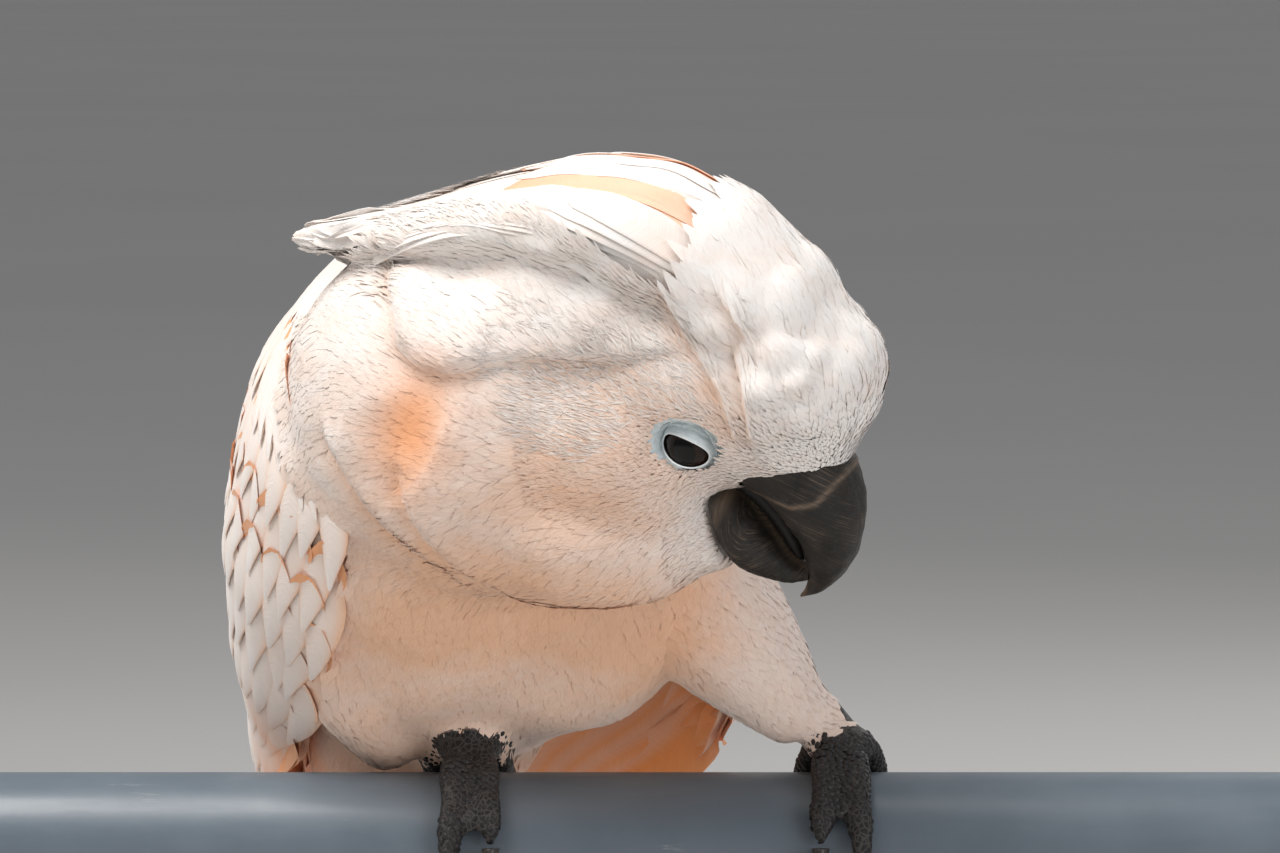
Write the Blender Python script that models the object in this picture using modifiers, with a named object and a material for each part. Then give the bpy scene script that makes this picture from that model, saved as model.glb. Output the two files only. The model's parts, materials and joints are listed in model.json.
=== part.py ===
"""A perched salmon-crested cockatoo, life size, on a cut length of rail held by a plain display stand.

Metres, +Z up. The origin is the middle of the stand's underside. The bird faces -Y, turned a little towards +X,
and bows its head to its own left.
"""

import bmesh
import bpy
from math import cos, pi, radians, sin, sqrt
from mathutils import Matrix, Vector

# ---------------------------------------------------------------- driving sizes
CLEARANCE = 0.0003            # gap left between neighbouring solids

RAIL_RADIUS = 0.021
RAIL_LENGTH = 0.400
RAIL_AXIS_HEIGHT = 0.179
RAIL_TOP = RAIL_AXIS_HEIGHT + RAIL_RADIUS
CAP_THICKNESS = 0.004
CAP_ROUNDING = 0.0012

BASE_SIZE = (0.300, 0.210, 0.014)
ROD_RADIUS = 0.006
ROD_OFFSET = 0.125
FLANGE_RADIUS = 0.018
FLANGE_HEIGHT = 0.008
FLANGE_BEVEL = 0.0012
BASE_ROUNDING = 0.0025

# trunk: an egg whose long axis rises towards the shoulders
BODY_CENTRE = (-0.043, 0.006, 0.279)
BODY_YAW = radians(22)        # turned towards the bird's left
BODY_RISE = radians(50)       # slope of the back above the horizontal
TRUNK_HALF_LENGTH = 0.098
TRUNK_HALF_WIDTH = 0.076
TRUNK_HALF_DEPTH = 0.061
TRUNK_FULLNESS = 0.16         # how much wider the egg is at the shoulders than at the vent

# head: the frame's origin is midway between the eyes
HEAD_CENTRE = (0.021, -0.086, 0.308)
HEAD_YAW = radians(72)
HEAD_PITCH = radians(18)
HEAD_ROLL = radians(20)

EYE_RADIUS = 0.0078
EYE_SIDE = 0.0165             # eyeball centre from the midline
EYE_HOLLOW_SIDE = 0.0310      # centre of the bare, sunken ring round each eye
EYE_HOLLOW_RADII = (0.0125, 0.0085, 0.0120)

TOE_RADIUS = 0.0046
FOOT_SPOTS = {"right": (-0.049, 0.0, RAIL_TOP), "left": (0.058, 0.0, RAIL_TOP)}

COLOURS = {
    "plumage": ((0.93, 0.84, 0.79, 1), 0.75, 0.0),
    "flight_feather": ((0.93, 0.80, 0.68, 1), 0.6, 0.0),
    "crest_feather": ((0.94, 0.66, 0.50, 1), 0.65, 0.0),
    "bill_horn": ((0.045, 0.042, 0.045, 1), 0.5, 0.0),
    "eye": ((0.015, 0.010, 0.008, 1), 0.08, 0.0),
    "foot_skin": ((0.085, 0.080, 0.085, 1), 0.7, 0.0),
    "claw_horn": ((0.02, 0.02, 0.022, 1), 0.35, 0.0),
    "rail_metal": ((0.16, 0.18, 0.21, 1), 0.45, 0.6),
    "cap_plastic": ((0.03, 0.03, 0.03, 1), 0.5, 0.0),
    "stand_metal": ((0.10, 0.10, 0.11, 1), 0.4, 0.8),
    "stand_wood": ((0.20, 0.11, 0.06, 1), 0.5, 0.0),
}


# ---------------------------------------------------------------- scene helpers
def clear_scene():
    for obj in list(bpy.data.objects):
        bpy.data.objects.remove(obj)
    for collection in list(bpy.data.collections):
        bpy.data.collections.remove(collection)


def make_collection(name, hidden=False):
    collection = bpy.data.collections.new(name)
    bpy.context.scene.collection.children.link(collection)
    collection.hide_render = hidden
    return collection


def make_material(name):
    colour, roughness, metallic = COLOURS[name]
    material = bpy.data.materials.new(name)
    material.use_nodes = True
    shader = material.node_tree.nodes["Principled BSDF"]
    shader.inputs["Base Color"].default_value = colour
    shader.inputs["Roughness"].default_value = roughness
    shader.inputs["Metallic"].default_value = metallic
    return material


def make_frame(name, axes, origin):
    """An empty whose local X, Y and Z point along three world directions."""
    frame = bpy.data.objects.new(name, None)
    parts.objects.link(frame)
    frame.matrix_world = Matrix.Translation(origin) @ Matrix(axes).transposed().to_4x4()
    return frame


def make_object(name, mesh, frame=None, material=None):
    obj = bpy.data.objects.new(name, mesh)
    parts.objects.link(obj)
    if frame:
        obj.parent = frame
    if material:
        mesh.materials.clear()
        mesh.materials.append(materials[material])
    return obj


def take_primitive(name, frame=None):
    """Names the primitive that Blender has just added and moves it into the parts collection."""
    obj = bpy.context.object
    obj.name = name
    for collection in list(obj.users_collection):
        collection.objects.unlink(obj)
    parts.objects.link(obj)
    obj.parent = frame
    return obj


def settle(obj):
    """Applies the modifiers by giving the object its evaluated mesh."""
    bpy.context.view_layer.update()
    mesh = bpy.data.meshes.new_from_object(obj.evaluated_get(bpy.context.evaluated_depsgraph_get()))
    obj.modifiers.clear()
    obj.data = mesh
    return obj


def keep_largest_piece(obj):
    """Drops the slivers that a cut can leave beside the main body."""
    shape = bmesh.new()
    shape.from_mesh(obj.data)
    bmesh.ops.remove_doubles(shape, verts=shape.verts, dist=1e-6)
    unseen = set(shape.verts)
    islands = []
    while unseen:
        front = [unseen.pop()]
        island = list(front)
        while front:
            for edge in front.pop().link_edges:
                for vert in edge.verts:
                    if vert in unseen:
                        unseen.remove(vert)
                        front.append(vert)
                        island.append(vert)
        islands.append(island)
    islands.sort(key=len)
    for island in islands[:-1]:
        bmesh.ops.delete(shape, geom=island, context="VERTS")
    shape.to_mesh(obj.data)
    shape.free()


def shade(obj, angle=40):
    obj.data.shade_smooth()
    obj.data.set_sharp_from_angle(angle=radians(angle))


def clearance_copy(obj, gap):
    """A hidden copy of a solid as it was before any cut, grown by the gap, that cuts its neighbours."""
    cutter = bpy.data.objects.new(obj.name + "_cutter", whole.get(obj.name, obj.data).copy())
    cutters.objects.link(cutter)
    cutter.parent = obj.parent
    cutter.matrix_parent_inverse = obj.matrix_parent_inverse.copy()
    cutter.matrix_basis = obj.matrix_basis.copy()
    cutter.hide_render = True
    cutter.display_type = "WIRE"
    grow = cutter.modifiers.new("grow", "DISPLACE")
    grow.strength = gap
    grow.mid_level = 0.0
    return cutter


def cut(obj, *others, thin_walls=False):
    """Takes each other solid, grown by the clearance, out of obj. Growing a thin wall can fold it at its edges."""
    whole.setdefault(obj.name, obj.data.copy())
    for other in others:
        boolean = obj.modifiers.new("cut_" + other.name, "BOOLEAN")
        boolean.operation = "DIFFERENCE"
        boolean.object = clearance_copy(other, 2 * CLEARANCE if thin_walls else CLEARANCE)
        boolean.use_self = thin_walls
    settle(obj)
    keep_largest_piece(obj)
    return obj


# ---------------------------------------------------------------- shape helpers
def smooth_value(stations, at):
    """Reads a smooth curve through (position, value, ...) stations, as a tuple of values."""
    if at <= stations[0][0]:
        return stations[0][1:]
    for low, high in zip(stations, stations[1:]):
        if at <= high[0]:
            share = (at - low[0]) / (high[0] - low[0])
            share = share * share * (3 - 2 * share)
            return tuple(a + (b - a) * share for a, b in zip(low[1:], high[1:]))
    return stations[-1][1:]


def bezier(points, t):
    """A point on the Bezier curve with these control points, of any number."""
    points = [Vector(p) for p in points]
    while len(points) > 1:
        points = [a.lerp(b, t) for a, b in zip(points, points[1:])]
    return points[0]


def ellipsoid_mesh(name, centre, radii, tilt=0.0, segments=32, rings=18):
    """An ellipsoid turned by tilt about the frame's Y axis."""
    shape = bmesh.new()
    bmesh.ops.create_uvsphere(shape, u_segments=segments, v_segments=rings, radius=1.0)
    placing = Matrix.Translation(centre) @ Matrix.Rotation(tilt, 4, "Y") @ Matrix.Diagonal((*radii, 1))
    shape.transform(placing)
    mesh = bpy.data.meshes.new(name)
    shape.to_mesh(mesh)
    shape.free()
    return mesh


def loft_mesh(name, rings):
    """A closed skin over rings of equally many points, with a flat face closing each end."""
    shape = bmesh.new()
    loops = [[shape.verts.new(point) for point in ring] for ring in rings]
    count = len(loops[0])
    for near, far in zip(loops, loops[1:]):
        for i in range(count):
            j = (i + 1) % count
            shape.faces.new((near[i], near[j], far[j], far[i]))
    shape.faces.new(loops[0][::-1])
    shape.faces.new(loops[-1])
    if shape.calc_volume(signed=True) < 0:
        bmesh.ops.reverse_faces(shape, faces=shape.faces)
    bmesh.ops.triangulate(shape, faces=shape.faces)
    mesh = bpy.data.meshes.new(name)
    shape.to_mesh(mesh)
    shape.free()
    return mesh


def blade_mesh(name, upper, lower, half_width, steps, around=20, squareness=1.0):
    """A solid between an upper and a lower edge curve in the frame's XZ plane, as wide as half_width says.

    upper and lower are the control points of Bezier curves, and half_width holds (share of the way, value) stations.
    """
    rings = []
    for step in range(steps + 1):
        t = 0.5 - 0.5 * cos(pi * step / steps)
        top, bottom = bezier(upper, t), bezier(lower, t)
        middle, reach = (top + bottom) / 2, (top - bottom) / 2
        wide = smooth_value(half_width, t)[0]
        ring = []
        for i in range(around):
            turn = 2 * pi * i / around
            across = abs(sin(turn)) ** squareness * (1 if sin(turn) >= 0 else -1)
            side = wide * across
            point = middle + reach * cos(turn)
            ring.append((point.x, side, point.y))
        rings.append(ring)
    return loft_mesh(name, rings)


def fused(name, meshes, frame, material, voxel, triangles, smoothing=8):
    """One soft solid from overlapping closed meshes: voxels join them, and smoothing rounds the joins."""
    shape = bmesh.new()
    for mesh in meshes:
        shape.from_mesh(mesh)
    joined = bpy.data.meshes.new(name)
    shape.to_mesh(joined)
    shape.free()
    obj = make_object(name, joined, frame)
    remesh = obj.modifiers.new("join", "REMESH")
    remesh.mode = "VOXEL"
    remesh.voxel_size = voxel
    smooth = obj.modifiers.new("round", "SMOOTH")
    smooth.factor = 0.5
    smooth.iterations = smoothing
    obj.modifiers.new("flat_faces", "TRIANGULATE")
    settle(obj)
    thin = obj.modifiers.new("thin", "DECIMATE")
    thin.ratio = min(1.0, triangles / len(obj.data.polygons))
    settle(obj)
    obj.data.materials.append(materials[material])
    return obj


# ---------------------------------------------------------------- head
def make_bill():
    """Upper and lower mandible, with the dark slit of the slightly open bill between them."""
    upper = blade_mesh(
        "bill_upper",
        upper=[(0.018, 0.008), (0.044, 0.014), (0.0560, -0.020), (0.0485, -0.036), (0.0350, -0.0440)],
        lower=[(0.004, -0.0105), (0.026, -0.0125), (0.030, -0.022), (0.0405, -0.030), (0.0345, -0.0430)],
        half_width=[(0, 0.0165), (0.35, 0.0155), (0.65, 0.0105), (0.88, 0.0045), (1, 0.0009)],
        steps=11,
        squareness=0.75,
        around=14,
    )
    lower = blade_mesh(
        "bill_lower",
        upper=[(0.0065, -0.0150), (0.0200, -0.0150), (0.0240, -0.0300), (0.0362, -0.0325)],
        lower=[(0.0070, -0.0230), (0.0100, -0.0400), (0.0260, -0.0425), (0.0372, -0.0372)],
        half_width=[(0, 0.0130), (0.4, 0.0150), (0.8, 0.0090), (1, 0.0042)],
        steps=9,
        squareness=0.75,
        around=12,
    )
    bill_upper = make_object("bill_upper", upper, head_frame, "bill_horn")
    bill_lower = make_object("bill_lower", lower, head_frame, "bill_horn")
    cut(bill_lower, bill_upper)
    shade(bill_upper)
    shade(bill_lower)
    return bill_upper, bill_lower


def make_eyes():
    eyes = []
    for side, sign in (("right", -1), ("left", 1)):
        mesh = ellipsoid_mesh("eye_" + side, (0, sign * EYE_SIDE, 0), (EYE_RADIUS,) * 3, segments=12, rings=8)
        eye = make_object("eye_" + side, mesh, head_frame, "eye")
        shade(eye)
        eyes.append(eye)
    return eyes


def make_head(bill, eyes):
    """Skull, cheeks and the swollen forehead, out to the tips of their feathers."""
    masses = [
        ellipsoid_mesh("cranium", (-0.006, 0, 0.012), (0.043, 0.027, 0.031)),
        ellipsoid_mesh("face", (0.014, 0, 0.006), (0.028, 0.022, 0.017)),
        ellipsoid_mesh("cheeks", (-0.032, 0, -0.014), (0.041, 0.036, 0.036)),
        ellipsoid_mesh("forehead", (0.0200, 0, 0.0225), (0.0262, 0.025, 0.025)),
        ellipsoid_mesh("throat", (-0.004, 0, -0.034), (0.022, 0.020, 0.014)),
    ]
    head = fused("head", masses, head_frame, "plumage", voxel=0.0025, triangles=600)
    hollows = []
    for side, sign in (("right", -1), ("left", 1)):
        mesh = ellipsoid_mesh("hollow", (0, sign * EYE_HOLLOW_SIDE, 0), EYE_HOLLOW_RADII, segments=14, rings=7)
        hollow = make_object("eye_hollow_" + side, mesh, head_frame)
        hollow.hide_render = True
        hollow.display_type = "WIRE"
        hollows.append(hollow)
    cut(head, *bill, *hollows, *eyes)
    shade(head)
    return head


def make_crest(head, neck):
    """The half-lowered crest: a tall ridge over the crown that runs back to blunt tips behind the nape."""
    mesh = blade_mesh(
        "crest",
        upper=[(0.036, 0.020), (0.038, 0.046), (0.006, 0.071), (-0.018, 0.099), (-0.062, 0.074), (-0.096, 0.022),
               (-0.136, 0.013)],
        lower=[(0.030, 0.014), (0.010, 0.020), (-0.030, 0.036), (-0.060, 0.042), (-0.084, 0.030), (-0.104, 0.006),
               (-0.134, 0.007)],
        half_width=[(0, 0.012), (0.2, 0.023), (0.5, 0.024), (0.8, 0.015), (0.95, 0.009), (1, 0.004)],
        steps=12,
        around=10,
        squareness=0.9,
    )
    crest = make_object("crest", mesh, head_frame, "crest_feather")
    cut(crest, head, neck)
    shade(crest)
    return crest


# ---------------------------------------------------------------- neck and trunk
def make_neck(head):
    """The drawn-in neck with its raised ruff of long feathers behind the cheeks."""
    masses = [
        ellipsoid_mesh("ruff", (-0.069, 0.005, -0.025), (0.058, 0.050, 0.053)),
        ellipsoid_mesh("nape", (-0.048, 0.010, 0.012), (0.046, 0.038, 0.034), tilt=radians(-18)),
        ellipsoid_mesh("throat_ruff", (-0.034, 0.002, -0.037), (0.044, 0.040, 0.030)),
    ]
    neck = fused("neck", masses, head_frame, "plumage", voxel=0.0030, triangles=480)
    cut(neck, head)
    shade(neck)
    return neck


def egg_mesh(name, half_length, half_width, half_depth, fullness):
    """An egg along the frame's Z, fuller towards +Z."""
    shape = bmesh.new()
    bmesh.ops.create_uvsphere(shape, u_segments=40, v_segments=26, radius=1.0)
    for vert in shape.verts:
        swell = 1 + fullness * vert.co.z
        vert.co = Vector((vert.co.x * half_depth * swell, vert.co.y * half_width * swell, vert.co.z * half_length))
    mesh = bpy.data.meshes.new(name)
    shape.to_mesh(mesh)
    shape.free()
    return mesh


def make_trunk(head, neck):
    masses = [
        egg_mesh("egg", TRUNK_HALF_LENGTH, TRUNK_HALF_WIDTH, TRUNK_HALF_DEPTH, TRUNK_FULLNESS),
        ellipsoid_mesh("crop", (0.026, 0, 0.050), (0.040, 0.050, 0.046)),
        ellipsoid_mesh("vent", (0.004, 0, -0.082), (0.028, 0.038, 0.050)),
        ellipsoid_mesh("belly", (0.034, 0.018, -0.018), (0.026, 0.040, 0.040)),
    ]
    trunk = fused("trunk", masses, body_frame, "plumage", voxel=0.0040, triangles=520)
    cut(trunk, neck, head)
    shade(trunk)
    return trunk


# ---------------------------------------------------------------- wings and tail
# (distance up the body axis, half width, half depth, dorsal shift, lower edge angle, upper edge angle, thickness)
WING_STATIONS = [
    (-0.150, 0.029, 0.022, -0.020, radians(-14), radians(72), 0.0040),
    (-0.110, 0.045, 0.034, -0.014, radians(-26), radians(76), 0.0060),
    (-0.070, 0.061, 0.048, -0.006, radians(-38), radians(78), 0.0080),
    (-0.020, 0.077, 0.062, 0.000, radians(-42), radians(76), 0.0100),
    (0.030, 0.080, 0.066, 0.000, radians(-38), radians(70), 0.0110),
    (0.062, 0.070, 0.058, 0.000, radians(-20), radians(62), 0.0110),
    (0.082, 0.054, 0.046, 0.000, radians(4), radians(46), 0.0070),
]
# the same for the bundle of long flight feathers that comes out from under the coverts
PRIMARY_STATIONS = [
    (-0.222, 0.014, 0.0040, -0.0170, radians(-8), radians(40), 0.0016),
    (-0.205, 0.021, 0.0065, -0.0175, radians(-14), radians(56), 0.0022),
    (-0.170, 0.028, 0.0115, -0.0175, radians(-18), radians(66), 0.0036),
    (-0.130, 0.034, 0.0200, -0.0170, radians(-20), radians(68), 0.0046),
    (-0.090, 0.046, 0.0350, -0.0090, radians(-22), radians(66), 0.0046),
]
# share by which each wing's tip hangs out from the body, and where the swing starts along the body
WING_FLARE = {"right": 0.0, "left": 1.5}
FLARE_START, FLARE_LENGTH = 0.030, 0.140


def crescent(stations, at, sign, flare, arc_points=6):
    """One cross-section of a folded wing: an outer arc, and an inner arc closer to the body."""
    wide, deep, shift, low, high, thick = smooth_value(stations, at)
    wide *= 1 + flare * min(1, max(0, (FLARE_START - at) / FLARE_LENGTH)) ** 2
    arc = [low + (high - low) * i / (arc_points - 1) for i in range(arc_points)]

    def at_angle(angle, inset):
        return (shift - (deep - inset) * sin(angle), sign * (wide - inset) * cos(angle), at)

    taper = [thick * (0.25 + 0.75 * sin(pi * i / (arc_points - 1))) for i in range(arc_points)]
    outer = [at_angle(angle, 0.0) for angle in arc]
    inner = [at_angle(angle, inset) for angle, inset in zip(arc, taper)]
    return outer + inner[::-1]


def wing_mesh(name, stations, sign, flare, steps):
    low, high = stations[0][0], stations[-1][0]
    return loft_mesh(
        name, [crescent(stations, low + (high - low) * i / steps, sign, flare) for i in range(steps + 1)]
    )


def make_wings(trunk, neck, head):
    wings, flights = [], []
    for side, sign in (("right", -1), ("left", 1)):
        flare = WING_FLARE[side]
        mesh = wing_mesh("wing", WING_STATIONS, sign, flare, 9)
        wing = make_object("wing_" + side, mesh, body_frame, "plumage")
        cut(wing, trunk, neck, head)
        mesh = wing_mesh("primaries", PRIMARY_STATIONS, sign, flare, 6)
        flight = make_object("primaries_" + side, mesh, body_frame, "flight_feather")
        cut(flight, wing, trunk, thin_walls=True)
        shade(wing)
        shade(flight)
        wings.append(wing)
        flights.append(flight)
    cut(flights[1], flights[0])
    return wings, flights


def make_tail(trunk, wings, flights):
    """A short, square tail of stacked feathers, a little fanned at its end."""
    base, end = -0.100, -0.246
    rings = []
    for step in range(10):
        share = step / 9
        along = base + (end - base) * share
        wide = 0.024 + 0.014 * share
        if share > 0.86:
            wide *= sqrt(max(0.05, 1 - ((share - 0.86) / 0.15) ** 2))
        thick = 0.0085 - 0.006 * share
        middle = -0.001 - 0.004 * share
        ring = []
        for i in range(10):
            turn = 2 * pi * i / 10
            arch = 0.004 * cos(turn) ** 2
            ring.append((middle + thick * sin(turn) + arch, wide * cos(turn), along))
        rings.append(ring)
    tail = make_object("tail", loft_mesh("tail", rings), body_frame, "flight_feather")
    cut(tail, trunk, *wings, *flights, thin_walls=True)
    shade(tail)
    return tail


# ---------------------------------------------------------------- legs and feet
def tapered_mesh(name, points, radii, steps=14, around=16, flatten=1.0):
    """A round limb along a Bezier curve of world points, as thick as radii say, with rounded ends."""
    rings = []
    for step in range(steps + 1):
        t = 0.5 - 0.5 * cos(pi * step / steps)
        here = bezier(points, t)
        ahead = bezier(points, min(1, t + 0.01)) - bezier(points, max(0, t - 0.01))
        ahead.normalize()
        side = ahead.cross(Vector((0, 0, 1)) if abs(ahead.z) < 0.9 else Vector((0, 1, 0))).normalized()
        rise = side.cross(ahead)
        radius = smooth_value(radii, t)[0]
        rings.append([
            here + radius * (cos(2 * pi * i / around) * side + flatten * sin(2 * pi * i / around) * rise)
            for i in range(around)
        ])
    return loft_mesh(name, rings)


THIGH_CURVES = {
    "right": [(-0.074, 0.000, 0.262), (-0.088, -0.002, 0.232), (-0.069, 0.014, 0.2040)],
    "left": [(-0.006, 0.006, 0.270), (0.022, 0.000, 0.246), (0.0480, 0.002, 0.2125)],
}


def make_thighs(trunk, wings, rail):
    thighs = []
    for side, curve in THIGH_CURVES.items():
        mesh = tapered_mesh(
            "thigh", curve, [(0, 0.020), (0.35, 0.026), (0.7, 0.018), (0.92, 0.012), (1, 0.008)], steps=8, around=12
        )
        thigh = make_object("thigh_" + side, mesh, None, "plumage")
        cut(thigh, trunk, *wings, rail)
        shade(thigh)
        thighs.append(thigh)
    return thighs


# toe: (name, heading from the bird's forward in degrees, wrap round the rail in degrees, offset along the rail)
TOES = {
    "right": [("inner_front", -1, 84, 0.0058), ("outer_front", -1, 100, -0.0052), ("inner_back", 1, 62, 0.0100),
              ("outer_back", 1, 82, -0.0110)],
    "left": [("inner_front", -1, 84, -0.0058), ("outer_front", -1, 100, 0.0052), ("inner_back", 1, 62, -0.0100),
             ("outer_back", 1, 82, 0.0110)],
}
CLAW_WRAP = 32


def rail_point(x, way, wrap, height):
    """A point at this height over the rail's surface, wrap degrees from its top towards way (-1 front, 1 back)."""
    reach = RAIL_RADIUS + height
    return Vector((x, way * reach * sin(radians(wrap)), RAIL_AXIS_HEIGHT + reach * cos(radians(wrap))))


def toe_mesh(name, x, way, wrap, offset, radius):
    """A fleshy toe with swollen pads between its joints, wrapped round the rail."""
    rings = []
    steps, around = 8, 7
    for step in range(steps + 1):
        share = step / steps
        angle = 10 + (wrap - 10) * share
        spread = offset * (0.75 + 0.35 * share)
        pads = 1 + 0.10 * cos(2 * pi * share * 3) - 0.16 * share
        end = sqrt(max(0.06, 1 - max(0, (share - 0.9) / 0.1) ** 2)) * sqrt(min(1, 0.3 + share / 0.08))
        size = radius * pads * min(1, end)
        arch = 0.0034 * max(0, 1 - share / 0.35) ** 2
        ring = []
        for i in range(around):
            turn = 2 * pi * i / around
            height = CLEARANCE + radius * 0.96 + arch + size * cos(turn) * 0.94
            ring.append(rail_point(x + spread + size * sin(turn), way, angle, max(height, CLEARANCE)))
        rings.append(ring)
    return loft_mesh(name, rings)


def claw_mesh(name, x, way, wrap, offset, radius):
    """A hooked claw that carries on from the toe's end and turns in to the rail."""
    rings = []
    steps, around = 5, 6
    for step in range(steps + 1):
        share = step / steps
        angle = wrap + 3.5 + CLAW_WRAP * share
        size = radius * (0.62 * (1 - share) ** 0.8 + 0.06)
        middle = CLEARANCE + radius * (1.05 + 0.55 * sin(pi * share)) * (1 - 0.75 * share ** 2)
        ring = []
        for i in range(around):
            turn = 2 * pi * i / around
            height = max(middle + size * cos(turn) * 1.15, CLEARANCE)
            ring.append(rail_point(x + offset * 1.1 + size * sin(turn) * 0.8, way, angle, height))
        rings.append(ring)
    return loft_mesh(name, rings)


def make_feet(thighs, trunk, rail):
    for (side, spot), thigh in zip(FOOT_SPOTS.items(), thighs):
        x = spot[0]
        palm = ellipsoid_mesh("palm", (x, 0.0, RAIL_TOP + 0.0078), (0.0105, 0.0100, 0.0072), segments=24, rings=14)
        shank_top = bezier(THIGH_CURVES[side], 0.8)
        shank = tapered_mesh(
            "shank", [(x, 0.001, RAIL_TOP + 0.008), (x, 0.010, RAIL_TOP + 0.018), shank_top],
            [(0, 0.0060), (0.5, 0.0056), (1, 0.0064)], steps=8, around=14,
        )
        foot = fused("foot_" + side, [palm, shank], None, "foot_skin", voxel=0.0014, triangles=200, smoothing=4)
        cut(foot, thigh, trunk, rail)
        shade(foot)
        made = [foot]
        for name, way, wrap, offset in TOES[side]:
            toe = make_object(
                f"toe_{side}_{name}", toe_mesh("toe", x, way, wrap, offset, TOE_RADIUS), None, "foot_skin"
            )
            cut(toe, *made, thigh, trunk)
            shade(toe, 60)
            made.append(toe)
            claw = make_object(
                f"claw_{side}_{name}", claw_mesh("claw", x, way, wrap, offset, TOE_RADIUS), None, "claw_horn"
            )
            cut(claw, toe)
            shade(claw, 60)


# ---------------------------------------------------------------- rail and stand
def make_rail():
    bpy.ops.mesh.primitive_cylinder_add(
        vertices=40, radius=RAIL_RADIUS, depth=RAIL_LENGTH, location=(0, 0, RAIL_AXIS_HEIGHT), rotation=(0, pi / 2, 0)
    )
    bar = take_primitive("perch_rail")
    bar.data.materials.append(materials["rail_metal"])
    shade(bar)
    for side, sign in (("right", -1), ("left", 1)):
        bpy.ops.mesh.primitive_cylinder_add(
            vertices=20, radius=RAIL_RADIUS, depth=CAP_THICKNESS, rotation=(0, pi / 2, 0)
        )
        cap = take_primitive("perch_cap_" + side)
        cap.location = (sign * (RAIL_LENGTH / 2 + CLEARANCE + CAP_THICKNESS / 2), 0, RAIL_AXIS_HEIGHT)
        cap.data.materials.append(materials["cap_plastic"])
        bevel = cap.modifiers.new("edge", "BEVEL")
        bevel.width = CAP_ROUNDING
        bevel.segments = 1
        bevel.limit_method = "ANGLE"
        shade(cap)
    return bar


def make_stand(bar):
    bpy.ops.mesh.primitive_cube_add(size=1, location=(0, 0, BASE_SIZE[2] / 2))
    base = take_primitive("stand_base")
    base.data.transform(Matrix.Diagonal((*BASE_SIZE, 1)))
    corners = base.modifiers.new("corners", "BEVEL")
    corners.width = BASE_ROUNDING
    corners.segments = 2
    base.data.materials.append(materials["stand_wood"])
    shade(base)
    for side, sign in (("right", -1), ("left", 1)):
        x = sign * ROD_OFFSET
        bottom = BASE_SIZE[2] + CLEARANCE
        profile = bpy.data.meshes.new("flange_profile")
        edge = FLANGE_BEVEL
        points = [
            (0, FLANGE_HEIGHT), (FLANGE_RADIUS - 4 * edge, FLANGE_HEIGHT), (FLANGE_RADIUS - edge, FLANGE_HEIGHT - edge),
            (FLANGE_RADIUS, FLANGE_HEIGHT - 3 * edge), (FLANGE_RADIUS, 0), (0, 0),
        ]
        profile.from_pydata([(r, 0, z) for r, z in points], [(i, i + 1) for i in range(len(points) - 1)], [])
        flange = make_object("stand_flange_" + side, profile, None, "stand_metal")
        flange.location = (x, 0, bottom)
        screw = flange.modifiers.new("turn", "SCREW")
        screw.steps = screw.render_steps = 16
        screw.use_merge_vertices = True
        screw.merge_threshold = 0.0001
        settle(flange)
        rod_bottom = bottom + FLANGE_HEIGHT + CLEARANCE
        rod_top = RAIL_AXIS_HEIGHT - RAIL_RADIUS / 2
        bpy.ops.mesh.primitive_cylinder_add(
            vertices=16, radius=ROD_RADIUS, depth=rod_top - rod_bottom, location=(x, 0, (rod_top + rod_bottom) / 2)
        )
        rod = take_primitive("stand_rod_" + side)
        rod.data.materials.append(materials["stand_metal"])
        cut(rod, bar)
        shade(rod)
        shade(flange)


# ---------------------------------------------------------------- assembly
def body_axes():
    forward = Vector((sin(BODY_YAW), -cos(BODY_YAW), 0))
    left = Vector((cos(BODY_YAW), sin(BODY_YAW), 0))
    up_the_back = forward * cos(BODY_RISE) + Vector((0, 0, 1)) * sin(BODY_RISE)
    return left.cross(up_the_back), left, up_the_back


def head_axes():
    """Forward, left and up of the head: turned, bowed and then rolled so that the crown leans to the right side."""
    ahead = Vector((sin(HEAD_YAW), -cos(HEAD_YAW), 0))
    left = Vector((cos(HEAD_YAW), sin(HEAD_YAW), 0))
    up = Vector((0, 0, 1))
    forward = ahead * cos(HEAD_PITCH) - up * sin(HEAD_PITCH)
    crown = ahead * sin(HEAD_PITCH) + up * cos(HEAD_PITCH)
    return forward, left * cos(HEAD_ROLL) + crown * sin(HEAD_ROLL), crown * cos(HEAD_ROLL) - left * sin(HEAD_ROLL)


clear_scene()
parts = make_collection("cockatoo")
cutters = make_collection("cutters", hidden=True)
materials = {name: make_material(name) for name in COLOURS}
whole = {}                    # each cut solid's mesh as it was before its first cut
body_frame = make_frame("body_frame", body_axes(), BODY_CENTRE)
head_frame = make_frame("head_frame", head_axes(), HEAD_CENTRE)
bpy.context.view_layer.update()

rail = make_rail()
make_stand(rail)
bill = make_bill()
eyes = make_eyes()
head = make_head(bill, eyes)
neck = make_neck(head)
crest = make_crest(head, neck)
trunk = make_trunk(head, neck)
wings, flights = make_wings(trunk, neck, head)
tail = make_tail(trunk, wings, flights)
thighs = make_thighs(trunk, wings, rail)
make_feet(thighs, trunk, rail)
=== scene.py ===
"""Skin, plumage, horn, perch and stand of a life-size museum cockatoo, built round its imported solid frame.

Metres, +Z up. The head frame's X points along the bill, Y to the bird's left and Z to its crown. The body
frame's X points out of the breast, Y to the bird's left and Z up the back towards the shoulders.
"""

import json
from math import cos, inf, pi, radians, sin
from operator import add

import bmesh
import bpy
import numpy as np
from bpy.props import FloatProperty, FloatVectorProperty, IntProperty, PointerProperty
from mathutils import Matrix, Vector
from mathutils.bvhtree import BVHTree

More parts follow.
